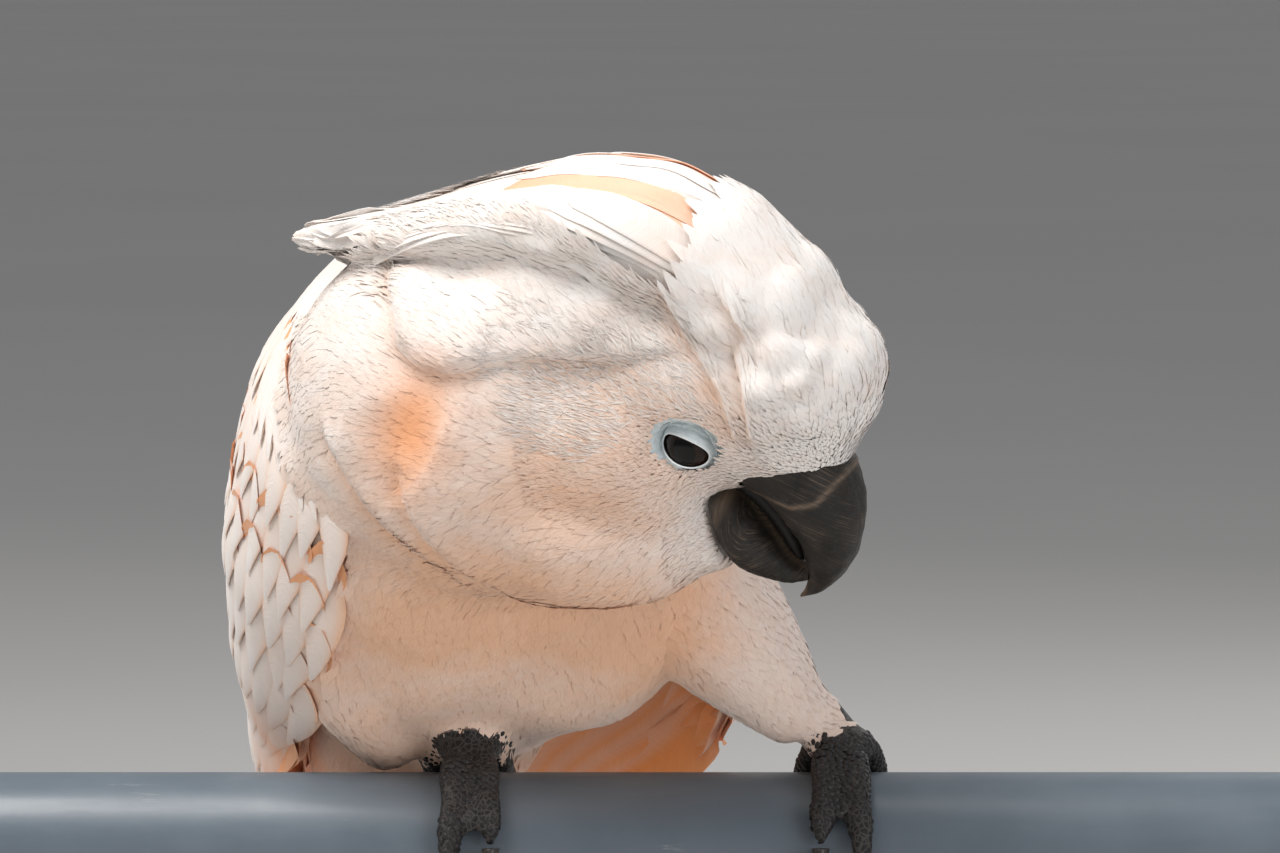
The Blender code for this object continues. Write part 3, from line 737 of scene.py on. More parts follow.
def pale_markings(points):
    """The markings with little of their salmon, for pale strands (over the ears a painted sheen) and
    salmon-margined feathers.
    """
    return markings(points) * (0.3, 1, 1)


def to_feet(points):
    """Each point's distance to each foot."""
    return np.linalg.norm(points[:, None] - np.array(list(FOOT_SPOTS.values())), axis=2)


def head_lie(points):
    """Feathers stream away from the bill, round the eyes and back over the head."""
    head = HEAD.local(points)
    flow = unit(head - BILL_ROOT) + (-0.45, 0.0, 0.0)
    flow[:, 2] -= 0.30 * smoothstep(-head[:, 2], 0.000, 0.030) * smoothstep(-head[:, 0], -0.01, 0.04)
    from_eye = head * (1, 0, 1)
    near = bell(np.linalg.norm(from_eye, axis=1, keepdims=True) / 0.013)
    flow += unit(from_eye) * near * 0.7
    flow[:, 1] += 0.25 * ripple(points, 0.014, 21)
    flow[:, 2] += 0.25 * ripple(points, 0.012, 22)
    return HEAD.turn(flow)


def body_lie(points):
    """Feathers run from the shoulders to the tail and a little outwards over the breast."""
    body = BODY.local(points)
    flow = body * (0, 2.2, 0) - (0, 0, 1.0)
    flow += 0.12 * np.stack([ripple(points, 0.03, 31), ripple(points, 0.03, 32), np.zeros(len(body))], axis=1)
    return BODY.turn(flow)


def neck_lie(points):
    """The ruff's feathers leave the head and turn down towards the body."""
    head = HEAD.local(points)
    reach = np.linalg.norm(head - (0, 0, -0.01), axis=1)
    share = (0.75 * smoothstep(reach, 0.085, 0.130))[:, None]
    flow = unit(head_lie(points)) * (1 - share) + unit(body_lie(points)) * share
    flow[:, 2] -= 0.30 * smoothstep(-head[:, 2], -0.005, 0.04)
    return flow


def thigh_lie(points):
    """Feathers run down to the foot on their own side."""
    feet = np.array(list(FOOT_SPOTS.values()))
    return unit(feet[to_feet(points).argmin(axis=1)] + (0, 0.004, 0.006) - points) + (0, 0, -0.25)


# ---- tufts and vanes
def scatter(surface, chosen, spacing, rng):
    """Points on the chosen triangles, none closer to another than its spacing, a function of place."""
    index = np.flatnonzero(chosen)
    apart = spacing(surface.centres[index])
    weight = surface.areas[index] / apart**2
    count = int(TRIES_PER_CELL * weight.sum())
    picked = index[rng.choice(len(index), count, p=weight / weight.sum())]
    first, second = np.sqrt(rng.random(count)), rng.random(count)
    shares = np.stack([1 - first, first * (1 - second), first * second], axis=1)
    points = (surface.points[surface.triangles[picked]] * shares[:, :, None]).sum(axis=1)
    cells = np.floor(points / float(apart.max())).astype(int)
    steps = [(x, y, z) for x in (-1, 0, 1) for y in (-1, 0, 1) for z in (-1, 0, 1)]
    taken, kept = {}, []

    def crowded(point, cell, gap):
        x, y, z = point
        for step in steps:
            for other in taken.get(tuple(map(add, cell, step)), ()):
                if (other[0] - x) ** 2 + (other[1] - y) ** 2 + (other[2] - z) ** 2 < gap:
                    return True
        return False

    gaps = (spacing(points) ** 2).tolist()
    for order, (point, cell, gap) in enumerate(zip(points.tolist(), cells.tolist(), gaps)):
        if not crowded(point, cell, gap):
            taken.setdefault(tuple(cell), []).append(point)
            kept.append(order)
    return points[kept]


def trace(surface, roots, lie, lengths, rows, cling, sway):
    """Each tuft's centre line: it follows the lie over the surface, and stands off where cling is under 1."""
    here, heading = roots, None
    cling = np.broadcast_to(cling, len(roots))[:, None]
    centres, normals = [], []
    step = (lengths / rows)[:, None]
    for _ in range(rows + 1):
        foot, normal, _ = surface.nearest(here)
        above = np.maximum(((here - foot) * normal).sum(axis=1, keepdims=True), 0)
        here = foot + normal * above * (1 - cling)
        flow = flatten(lie(foot), normal)
        flow = flow * np.cos(sway)[:, None] + np.cross(normal, flow) * np.sin(sway)[:, None]
        heading = flow if heading is None else unit(heading * (1 - 0.5 * cling) + flow * 0.5 * cling)
        centres.append(here)
        normals.append(normal)
        here = here + heading * step
    return np.array(centres), np.array(normals)


class Vane:
    """The shape and the colours of one kind of tuft or feather.

    In millimetres: how deep its root lies under its centre line, how far its tip lifts and its middle arches,
    the pitch of its barbs, its own thickness and the height of its shaft's ridge. As shares of its length or
    of its half width: how far it cups across, how pointed and how frayed its end is, its widths from the root
    to the tip, how far its barbs slant and how much its tip curls. Blush and margin are salmon at its root
    and along its edges, and soft is how far it is shaded like the coat as a whole.
    """

    lengths = ("depth", "lift", "arch", "pitch", "thick", "ridge")
    usual = dict(depth=2.0, lift=0.0, arch=0.0, pitch=0.45, thick=0.0, ridge=0.0, cup=0.25, point=0.25,
                 fray=0.15, slant=0.0, curl=0.0, blush=0.35, margin=0.0, soft=0.75)

    def __init__(self, rows, columns, widths, **shape):
        self.rows, self.columns, self.widths = rows, columns, widths
        for name, value in {**self.usual, **shape}.items():
            setattr(self, name, value * MM if name in self.lengths else value)

    def grid(self):
        """The number of each point of one tuft, in rows from its root to its tip."""
        return np.arange((self.rows + 1) * (self.columns + 1)).reshape(self.rows + 1, self.columns + 1)

    def faces(self):
        """The faces of one tuft: its upper side and, if it is thick, its under side and its rim."""
        grid = self.grid()
        quads = np.stack([grid[:-1, :-1], grid[1:, :-1], grid[1:, 1:], grid[:-1, 1:]], axis=-1).reshape(-1, 4)
        if not self.thick:
            return quads
        rim = np.concatenate([grid[0], grid[1:, -1], grid[-1, -2::-1], grid[-2:0:-1, 0]])
        after = np.roll(rim, -1)
        edge = np.stack([rim, after, after + grid.size, rim + grid.size], axis=1)
        return np.concatenate([quads, quads[:, ::-1] + grid.size, edge])

    def rise(self, along, across, wide, lengths, tips):
        """How far each point stands over its tuft's centre line."""
        height = -self.depth * (1 - along) ** 1.6 + tips[None, :, None] * along
        height = height + self.arch * 4 * along * (1 - along)
        height = height - self.cup * wide * across**2 + self.curl * lengths[None, :, None] * along**3
        return height + self.ridge * bell(across / 0.12) * (1 - 0.7 * along)

    def barbs(self, along, across, lengths, half_widths, rng):
        """The map that the barbs are drawn on: slanted off the shaft of a feather, or along a soft tuft."""
        run, wide = along * lengths[:, None], half_widths[:, None]
        start = rng.random((len(along), 1))
        if self.slant:
            slanted = run - np.abs(across) * wide * self.slant
            return np.stack([slanted / self.pitch, across * 2 + 7.0 * start], axis=-1)
        return np.stack([across * wide / self.pitch + 40 * start, run / self.pitch * 0.5], axis=-1)


def soften(mesh, smooth, share):
    """Shades a mesh by the coat's own slope, so that its tufts read as one soft surface."""
    own = read(mesh.vertex_normals, "vector", 3)
    mesh.normals_split_custom_set_from_vertices(unit(own * (1 - share) + smooth * share))


def bake_spots(points):
    """The place of the nearest skin on the skin's unwrap, for each point."""
    _, _, index = shared["skin"].nearest(points)
    return shared["unwrap"][index]


def grow_vanes(name, vane, centres, normals, lengths, half_widths, rng, material, nodes=(), flame=None,
               lifts=None, tint=markings):
    """One joined mesh of vanes along the given centre lines, with its colours and its two maps."""
    rows, columns = vane.rows, vane.columns
    count = centres.shape[1]
    shares = np.linspace(0, 1, rows + 1)[:, None, None]
    across = np.linspace(-1, 1, columns + 1)[None, None, :]
    ragged = rng.random((1, count, columns + 1)) * 0.5 + np.where(np.arange(columns + 1) % 2, 0.6, 0.0)
    shape = np.interp(shares, np.linspace(0, 1, len(vane.widths)), vane.widths)
    along = shares * (1 - vane.point * shape * across**2) * (1 - vane.fray * shape * ragged * shares)

    spot = along * rows
    low = np.clip(spot.astype(int), 0, rows - 1)
    part = (spot - low)[..., None]
    tuft = np.arange(count)[None, :, None]
    ahead = unit(np.gradient(centres, axis=0))
    side = unit(np.cross(normals, ahead))

    def between(field):
        """A field of the centre lines, carried to every point of the tufts."""
        return field[low, tuft] * (1 - part) + field[low + 1, tuft] * part

    def by_tuft(values):
        """Values in rows over all tufts, turned to one row for each tuft."""
        return values.transpose(1, 0, 2, *range(3, values.ndim)).reshape(count, -1, *values.shape[3:])

    wide = shape * half_widths[None, :, None] * np.ones_like(along)
    tips = vane.lift * (0.45 + 0.55 * rng.random(count)) if lifts is None else lifts
    up = between(np.cross(ahead, side))
    rise = vane.rise(along, across, wide, lengths, tips)
    points = between(centres) + between(side) * (across * wide)[..., None] + up * rise[..., None]
    layers, slopes = [by_tuft(points)], [by_tuft(between(normals))]
    if vane.thick:
        layers.append(by_tuft(points - up * vane.thick))
        slopes.append(-slopes[0])
    stacked = np.concatenate(layers, axis=1)
    per = stacked.shape[1]
    mesh = new_mesh(name, stacked.reshape(-1, 3), repeated(vane.faces(), count, per))
    soften(mesh, np.concatenate(slopes, axis=1).reshape(-1, 3), vane.soft)

    along = np.tile(by_tuft(along), (1, len(layers)))
    across = np.tile(by_tuft(across + np.zeros_like(wide)), (1, len(layers)))
    patches = np.stack([across / 2, along - 0.5], axis=-1) * BAKE_PATCH
    set_uv(mesh, "OFBake", np.clip(bake_spots(centres[0])[:, None] + patches, 0, 1))
    set_uv(mesh, "Barbs", vane.barbs(along, across, lengths, half_widths, rng))
    weights = tint(stacked.reshape(-1, 3)).reshape(count, per, 3)
    weights[..., 0] += vane.blush * (1 - along) ** 1.5 + 0.10 * (rng.random((count, 1)) - 0.5)
    weights[..., 0] += vane.margin * np.abs(across) ** 3
    if flame is not None:
        weights[..., 1] += flame(along, across)
    set_colour(mesh, "Plumage", np.clip(weights, 0, 1))
    return link(name, mesh, material, nodes)


class Patch:
    """A sheet of the frame's surface laid out by rays, with places (along, across) from 0 to 1 each way."""

    def __init__(self, surface, ray, along, across, steps=36, scans=70, columns=25):
        """ray(along, across) gives a ray's origin and direction in the world."""
        rows = []
        for level in np.linspace(*along, steps):
            hits = [surface.cast(*ray(level, turn)) for turn in np.linspace(*across, scans)]
            hits = np.array([hit[:] for hit in hits if hit is not None])
            if len(hits) > 3:
                reach = np.concatenate([[0], np.cumsum(np.linalg.norm(np.diff(hits, axis=0), axis=1))])
                spots = np.linspace(0, reach[-1], columns)
                rows.append(np.stack([np.interp(spots, reach, hits[:, axis]) for axis in range(3)], axis=1))
        if len(rows) < 4:
            raise RuntimeError("the rays missed the frame's surface")
        grid = np.array(rows)
        for _ in range(2):
            grid[1:-1] = grid[1:-1] * 0.5 + (grid[:-2] + grid[2:]) * 0.25
            grid[:, 1:-1] = grid[:, 1:-1] * 0.5 + (grid[:, :-2] + grid[:, 2:]) * 0.25
        self.grid = grid

    def at(self, along, across):
        """Points at places on the patch, carried straight on past its far end."""
        rows, columns = self.grid.shape[:2]
        row = np.asarray(along) * (rows - 1)
        column = np.clip(np.asarray(across), 0, 1) * (columns - 1)
        low_row = np.clip(row.astype(int), 0, rows - 2)
        low_column = np.clip(column.astype(int), 0, columns - 2)
        down = (row - low_row)[..., None]
        right = (column - low_column)[..., None]
        near, far = [self.grid[at, low_column] * (1 - right) + self.grid[at, low_column + 1] * right
                     for at in (low_row, low_row + 1)]
        return near * (1 - down) + far * down

    def normal(self, along, across, outward):
        """Normals of the patch, turned to the side that outward(points) points to."""
        step = 0.02
        down = self.at(along + step, across) - self.at(along - step, across)
        wide = self.at(along, np.clip(across + step, 0, 1)) - self.at(along, across - step)
        normal = unit(np.cross(down, wide))
        way = np.sign((normal * outward(self.at(along, across))).sum(axis=-1, keepdims=True))
        return normal * np.where(way == 0, 1, way)


# ---- skin
COAT_DEPTH = {"head": 0.9 * MM, "neck": 1.7 * MM, "trunk": 1.7 * MM, "thigh": 1.3 * MM, "wing": 1.5 * MM}
FOOT_DEPTH = 0.35 * MM        # how far the feet's skin lies under the scales
SOCKET_DEPTH = 2.6 * MM       # how much further the skin sinks under the lids
DEEPEST = 9.0 * MM            # the most that the skin is sunk
GROWTH = 0.5 * MM             # how much each solid is grown, so that the gaps between them close
COAT_VOXEL = 1.5 * MM         # grid of the surface that the coat's tips keep to
SMOOTHING, FOOT_SMOOTHING = 0.5, 0.12       # how far a round of smoothing goes on the coat and on the feet
RING_LENGTH, RING_HEIGHT = 10.4 * MM, 8.7 * MM
RING_MIDDLE = (1.2 * MM, 2.5 * MM)
LID_TILT = radians(-5)
LID_HALF_LENGTH, UPPER_LID, LOWER_LID = 6.9 * MM, 4.2 * MM, 3.8 * MM
LID_CLEARANCE = 0.45 * MM     # from the eyeball to the lid that lies over it


def grown_solids(nodes):
    """One mesh of these solids, each grown a little so that they overlap."""
    shape = bmesh.new()
    for node in nodes:
        piece = welded(node)
        piece.normal_update()
        for vert in piece.verts:
            vert.co += vert.normal * GROWTH
        mesh = bpy.data.meshes.new(node)
        piece.to_mesh(mesh)
        piece.free()
        shape.from_mesh(mesh)
        bpy.data.meshes.remove(mesh)
    joined = bpy.data.meshes.new("solids")
    shape.to_mesh(joined)
    shape.free()
    return joined


def remeshed(mesh, voxel):
    holder = bpy.data.objects.new("holder", mesh)
    bpy.context.scene.collection.objects.link(holder)
    remesh = holder.modifiers.new("join", "REMESH")
    remesh.mode = "VOXEL"
    remesh.voxel_size = voxel
    bpy.context.view_layer.update()
    made = bpy.data.meshes.new_from_object(holder.evaluated_get(bpy.context.evaluated_depsgraph_get()))
    bpy.data.objects.remove(holder)
    return made


def refine_feet(mesh):
    """Splits the faces of the feet once, so that they can hold their scales and folds."""
    shape = bmesh.new()
    shape.from_mesh(mesh)
    feet, _ = node_surface(*[node for node in FLESH if node.startswith(("foot", "toe"))])
    highest, close = RAIL_TOP + 0.030, 2.2 * MM
    edges = [edge for edge in shape.edges if all(
        vert.co.z < highest and feet.tree.find_nearest(vert.co, close)[0] is not None for vert in edge.verts
    )]
    bmesh.ops.subdivide_edges(shape, edges=edges, cuts=1, use_grid_fill=True)
    bmesh.ops.triangulate(shape, faces=[face for face in shape.faces if len(face.verts) > 4])
    shape.to_mesh(mesh)
    shape.free()


def label_points(points):
    """The name of the flesh solid that is nearest to each point."""
    solid, names = node_surface(*FLESH)
    return names[solid.nearest(points)[2]]


def eye_zone(points):
    """How far each point is from the nearer eye, where 1 is the edge of its bare ring, seen from the side."""
    head = HEAD.local(points)
    reach = np.hypot((head[:, 0] - RING_MIDDLE[0]) / RING_LENGTH, (head[:, 2] - RING_MIDDLE[1]) / RING_HEIGHT)
    return np.where(np.abs(head[:, 1]) > 0.010, reach, 9.0)


def lid_edge(turn):
    """The almond-shaped edge of the lids, tilted to the eye."""
    wide, rise = LID_HALF_LENGTH * np.cos(turn), np.abs(np.sin(turn))
    high = np.where(np.sin(turn) > 0, UPPER_LID * rise**0.85, -LOWER_LID * rise)
    tilted = [wide * cos(LID_TILT) - high * sin(LID_TILT), wide * sin(LID_TILT) + high * cos(LID_TILT)]
    return np.stack(tilted, axis=1)


def lid_rings(sign):
    """Rings of the bare eyelids, from the lids' edges over the eyeball out to the feathered face."""
    around, steps = 96, 52
    turn = circle(around)
    edge = lid_edge(turn)
    outer = np.stack([np.cos(turn) * RING_LENGTH, np.sin(turn) * RING_HEIGHT], axis=1) * 1.16 + RING_MIDDLE
    hits = [shared["guide"].cast(HEAD.world((x, sign * 0.06, z)), HEAD.turn((0, -sign, 0))) for x, z in outer]
    face = np.abs(HEAD.local(np.array(hits))[:, 1]) - 1.0 * MM
    ball = EYE_RADIUS + LID_CLEARANCE
    upper = smoothstep(np.sin(turn), -0.35, 0.65)
    rings = []
    for share in np.linspace(0, 1, steps) ** 1.15:
        flat = edge * (1 - share) + outer * share
        reach = np.minimum(np.hypot(flat[:, 0], flat[:, 1]), 0.97 * ball)
        over = EYE_SIDE + np.sqrt(ball**2 - reach**2)
        blend = smoothstep(share, 0.10, 0.95)
        out = over * (1 - blend) + face * blend
        out += 0.75 * MM * bell((share - 0.10) / 0.10)
        folds = np.abs(np.sin(pi * (7.6 * share + 0.14 * np.sin(3 * turn) + 0.07 * np.sin(8 * turn)))) ** 0.6
        shown = smoothstep(share, 0.10, 0.20) * (1 - smoothstep(share, 0.85, 1.0))
        out += (0.20 + 0.55 * upper) * MM * (folds - 0.6) * shown
        out += 0.10 * MM * np.sin(turn * 31 + 9 * share) * smoothstep(share, 0.1, 0.4)
        rings.append(np.stack([flat[:, 0], sign * out, flat[:, 1]], axis=1))
    return HEAD.world(np.array(rings))


# The folds of the coat: each one's path in millimetres over the side of the head, as (x, z), with the layer
# that stands over the other on its left; then how far that layer is raised, how far the other is sunk, and
# how far from the fold each of them takes to level out.
FOLDS = {
    "crown_back": ([(-100, 20), (-89, 11), (-84, 6), (-78, 3.5), (-70, 4), (-62, 7)], 2.2, 0.8, 15, 6),
    "crown_front": ([(-56, 11), (-45, 15), (-35, 17), (-25, 19), (-15, 25)], 1.4, 0.4, 14, 7),
    "cheek": ([(-72, -30), (-69, -36), (-62, -45), (-52, -55), (-38, -62), (-16, -56)], 1.7, 1.0, 12, 7),
    "ear": ([(-68, 4), (-65, -6), (-65, -15), (-68, -26), (-72, -32)], 0.7, 0.4, 10, 8),
    "ruff": ([(-96, -30), (-87, -38), (-77, -46), (-66, -52), (-56, -60)], 1.2, 1.8, 9, 8),
    "brow_rear": ([(-13, 42), (-6, 33), (3, 26), (8, 21), (12, 13)], 1.6, 1.0, 8, 6),
    "brow_front": ([(5, 46), (11, 39), (9, 33), (13, 27), (16, 20), (18, 13)], 1.7, 0.9, 9, 5),
}
# Rounded swellings of the forehead and the crown: middle (x, y, z) in millimetres, radius and height.
LOBES = [
    ((20, 9, 48), 12, 1.6), ((21, 19, 37), 7.5, 1.6), ((27, 20, 31), 5.5, 1.5), ((20, 23, 27), 6, 1.2),
    ((29, 17, 40), 6, 1.0), ((32, 20, 21), 7, 0.9), ((38, 8, 33), 10, 1.0), ((3, 21, 38), 7, 0.9),
    ((-30, 23, 32), 15, 1.6), ((-72, 30, 18), 16, 1.6), ((-52, 22, 36), 12, 0.8), ((-92, 22, 22), 12, 0.8),
]
PUFFED = 1.9                            # how many times those heights the lobes stand
EAR_HOLLOW = (-76, -14), (10, 19)       # middle and radii in millimetres, over the side of the head
EAR_HOLLOW_DEPTH = 3.0


def fold_places(points):
    """Places over the side of the head in millimetres, and how fully the folds show there."""
    head = HEAD.local(points) / MM
    return head[:, [0, 2]], smoothstep(np.abs(head[:, 1]), 7.0, 15.0)


def most_of_folds(points, value):
    """The greatest of the folds' values at each point. value(gap, raised, sunk, outer) gives one fold's."""
    places, shown = fold_places(points)
    most = np.zeros(len(points))
    for path, raised, sunk, _, outer in FOLDS.values():
        most = np.maximum(most, value(distance_to_path(places, path), raised, sunk, outer))
    return most * shown


def crease_shade(points):
    """1 just outside a fold, where the under layer's colour and painted shade show, falling to 0 away from
    it.
    """
    def outside(gap, _, sunk, outer):
        return np.where(gap < 0, min(1.0, sunk) * bell(gap / outer / 0.8), 0)
    return most_of_folds(points, outside)


def rims(points):
    """1 just inside the raised edge of a fold, where tufts stand free, falling to 0 away from it."""
    def inside(gap, raised, _, __):
        return np.where(gap > -1.0, min(1.0, raised / 1.6) * bell((gap - 1) / 4.0), 0)
    return most_of_folds(points, inside)


def relief(points):
    """How far the folds, lobes and hollows of the coat stand over the smooth solids."""
    places, shown = fold_places(points)
    height = np.zeros(len(points))
    for path, raised, sunk, inner, outer in FOLDS.values():
        gap = distance_to_path(places, path)
        over = smoothstep(gap, -1.2, 1.2)
        height += over * raised * bell(gap / inner) - (1 - over) * sunk * bell(gap / outer)
    height -= EAR_HOLLOW_DEPTH * blob(places, *EAR_HOLLOW)
    height *= shown
    head = either_side(HEAD.local(points) / MM)
    swell = np.zeros(len(points))
    for middle, radius, lift in LOBES:
        reach = np.linalg.norm(head - middle, axis=1) / radius
        swell = np.maximum(swell, PUFFED * lift * np.clip(1 - reach**2, 0, 1))
    parting = bell((head[:, 1] - 9 - 0.08 * (head[:, 2] - 30)) / 1.6)
    parting *= smoothstep(head[:, 0], 30, 36) * smoothstep(head[:, 2], 10, 16)
    soft = smoothstep(-head[:, 2], 42, 60) * smoothstep(BODY.local(points)[:, 0] / MM, -20, 0)
    return (height + swell - 0.9 * parting + soft * ripple(points, 0.034, 61)) * MM


def build_guide():
    """The smooth outer surface of all the flesh, which the coat's tips keep to, and each triangle's label."""
    mesh = remeshed(grown_solids(FLESH + ["crest"]), COAT_VOXEL)
    points, triangles, edges = mesh_arrays(mesh)
    points = relaxed(points - Surface(points, triangles).vertex_normals * GROWTH, edges, SMOOTHING, 8)
    normals = Surface(points, triangles).vertex_normals
    points = relaxed(points + normals * relief(points)[:, None], edges, SMOOTHING, 1)
    shared["guide"] = Surface(points, triangles)
    shared["face_labels"] = label_points(shared["guide"].centres)
    bpy.data.meshes.remove(mesh)


def sculpt_skin():
    """The skin: all the flesh joined, sunk by the coat's depth, with the folds of the feet worked into it."""
    mesh = remeshed(grown_solids(FLESH), settings("skin").voxel)
    refine_feet(mesh)
    points, triangles, edges = mesh_arrays(mesh)
    labels = label_points(points)
    on_foot = np.char.startswith(labels, "toe") | np.char.startswith(labels, "foot")
    normals = Surface(points, triangles).vertex_normals
    points = relaxed(points - normals * GROWTH, edges, np.where(on_foot, FOOT_SMOOTHING, SMOOTHING), 10)
    normals = Surface(points, triangles).vertex_normals
    depth = np.zeros(len(points))
    for name, value in COAT_DEPTH.items():
        depth[np.char.startswith(labels, name)] = value
    depth = relaxed(depth, edges, SMOOTHING, 12)
    depth[on_foot] = FOOT_DEPTH
    depth -= relief(points) * ~on_foot
    zone = eye_zone(points)
    depth += SOCKET_DEPTH * (1 - smoothstep(zone, 0.85, 1.12))
    points = points - normals * np.clip(depth, 0, DEEPEST)[:, None]
    points += normals * (ripple(points, 0.004, 41) * np.where(on_foot, 0.10, 0.25) * MM)[:, None]
    mesh.vertices.foreach_set("co", points.astype(np.float32).ravel())
    shared["skin"] = Surface(points, triangles)
    bare = 1 - smoothstep(zone, 0.95, 1.15)
    return mesh, np.stack([bare, on_foot.astype(float), np.zeros(len(points))], axis=1)


def add_lids(mesh):
    """Joins the lids to the skin. Gives the bare weights of their points: ring, foot and the lid's edge."""
    lids = bmesh.new()
    lids.from_mesh(mesh)
    weights = []
    for _, sign in SIDES:
        rings = lid_rings(sign)
        steps, around = rings.shape[:2]
        made = [lids.verts.new(point) for point in rings.reshape(-1, 3)]
        for face in ring_faces(steps, around):
            lids.faces.new([made[corner] for corner in (face if sign < 0 else face[::-1])])
        edge = bell(np.linspace(0, 1, steps) / 0.11)
        weights += [(1.0, 0.0, float(value)) for value in edge for _ in range(around)]
    lids.to_mesh(mesh)
    lids.free()
    return weights


class COCKATOO_OT_skin(bpy.types.Operator):
    """Builds one skin over all the flesh, with wrinkled eyelids and scaly feet"""

    bl_idname = "cockatoo.skin"
    bl_label = "Skin"

    def execute(self, context):
        build_guide()
        mesh, bare = sculpt_skin()
        lid_weights = add_lids(mesh)
        mesh.shade_smooth()
        set_colour(mesh, "Plumage", markings(mesh_arrays(mesh)[0]) + (0.12, 0.0, 0.0))
        set_colour(mesh, "Bare", np.concatenate([bare, lid_weights]))
        mesh.materials.clear()
        unwrap(link("skin", mesh, skin_material(), FLESH))
        mesh.calc_loop_triangles()
        corners = read(mesh.loop_triangles, "loops", 3, np.int32)[: len(shared["skin"].triangles)]
        shared["unwrap"] = read(mesh.uv_layers["OFBake"].uv, "vector", 2)[corners].mean(axis=1)
        return {"FINISHED"}


def unwrap(piece):
    """Lays the skin out flat by the slope of its faces, in islands that don't overlap."""
    for other in bpy.context.selected_objects:
        other.select_set(False)
    piece.data.uv_layers.new(name="OFBake")
    bpy.context.view_layer.objects.active = piece
    piece.select_set(True)
    bpy.ops.object.mode_set(mode="EDIT")
    bpy.ops.mesh.select_all(action="SELECT")
    bpy.ops.uv.smart_project(angle_limit=radians(66), island_margin=0.002)
    bpy.ops.object.mode_set(mode="OBJECT")
    piece.select_set(False)


# ---- eyes, bill, claws
EYE_PROUD = 0.35 * MM         # how far the clear front stands over the ball
SHEATH_SINK = 0.15 * MM       # how far the horn lies under its solid, to leave room for its swellings
GROWTH_RIDGES = 15
GRAIN_PITCH = 0.5 * MM
GRAIN_LENGTHS = 60.0          # lengths of grain from the bill's root to its tip


def eyeball_mesh(name, sign):
    """An eyeball with a proud, clear front. Gaze is the angle from its axis, as a share of 90 degrees."""
    around, steps = 64, 44
    turn = circle(around)
    angles = np.linspace(0.004, pi - 0.004, steps)
    rings = []
    for angle in angles:
        radius = EYE_RADIUS + EYE_PROUD * (1 - smoothstep(np.array(angle), 0.35, 0.95))
        across, out = radius * sin(angle), np.full(around, sign * radius * cos(angle))
        ring = np.stack([across * np.cos(turn), out, across * np.sin(turn)], axis=1)
        rings.append(HEAD.world(ring + (0, sign * EYE_SIDE, 0)))
    mesh = ring_mesh(name, rings)
    set_number(mesh, "Gaze", np.repeat(angles / (pi / 2), around))
    set_uv(mesh, "Iris", np.stack(np.broadcast_arrays(np.arange(around) / around, angles[:, None]), axis=-1))
    return mesh


class COCKATOO_OT_eyes(bpy.types.Operator):
    """Builds the two wet, dark eyes"""

    bl_idname = "cockatoo.eyes"
    bl_label = "Eyes"

    def execute(self, context):
        material = eye_material()
        for side, sign in SIDES:
            link("eyeball_" + side, eyeball_mesh("eyeball_" + side, sign), material, ["eye_" + side])
        return {"FINISHED"}


# The two halves of the bill in the head's side plane: their upper and lower outlines, and their half width at
# shares of their length. Then the edge of the cere, and the tongue's middle line.
UPPER_BILL = {
    "upper": [(0.018, 0.008), (0.044, 0.014), (0.0560, -0.020), (0.0485, -0.036), (0.0350, -0.0440)],
    "lower": [(0.004, -0.0105), (0.026, -0.0125), (0.030, -0.022), (0.0405, -0.030), (0.0345, -0.0430)],
    "half_width": [(0, 0.0165), (0.35, 0.0155), (0.65, 0.0105), (0.88, 0.0045), (1, 0.0009)],
}
LOWER_BILL = {
    "upper": [(0.0065, -0.0150), (0.0200, -0.0150), (0.0240, -0.0300), (0.0362, -0.0325)],
    "lower": [(0.0070, -0.0230), (0.0100, -0.0400), (0.0260, -0.0425), (0.0372, -0.0372)],
    "half_width": [(0, 0.0130), (0.4, 0.0150), (0.8, 0.0090), (1, 0.0042)],
}
CERE_EDGE = [
    (0.014, -0.0120), (0.022, -0.0100), (0.031, -0.0095), (0.0375, -0.0065), (0.0415, 0.0010), (0.043, 0.006)
]
TONGUE = [(0.010, -0.0130), (0.023, -0.0170), (0.030, -0.0260), (0.0335, -0.0345)]
TONGUE_HALF_WIDTH, TONGUE_HALF_DEPTH = 5.2 * MM, 3.6 * MM


def eased_stations(stations, share):
    """A smooth curve through (share, value) stations."""
    places, values = np.array(stations).T
    spot = np.clip(np.searchsorted(places, share, side="right") - 1, 0, len(places) - 2)
    part = smoothstep((share - places[spot]) / (places[spot + 1] - places[spot]), 0, 1)
    return values[spot] + (values[spot + 1] - values[spot]) * part


def distance_to_path(points, path):
    """Each 2-D point's distance to a line through the path's points, positive on its left."""
    best = np.full(len(points), np.inf)
    for start, end in zip(np.array(path), np.array(path)[1:]):
        step = end - start
        along = np.clip(((points - start) @ step) / (step @ step), 0, 1)
        gap = points - (start + along[:, None] * step)
        way = np.sign(step[0] * gap[:, 1] - step[1] * gap[:, 0])
        distance = np.linalg.norm(gap, axis=1) * np.where(way == 0, 1, way)
        best = np.where(np.abs(distance) < np.abs(best), distance, best)
    return best


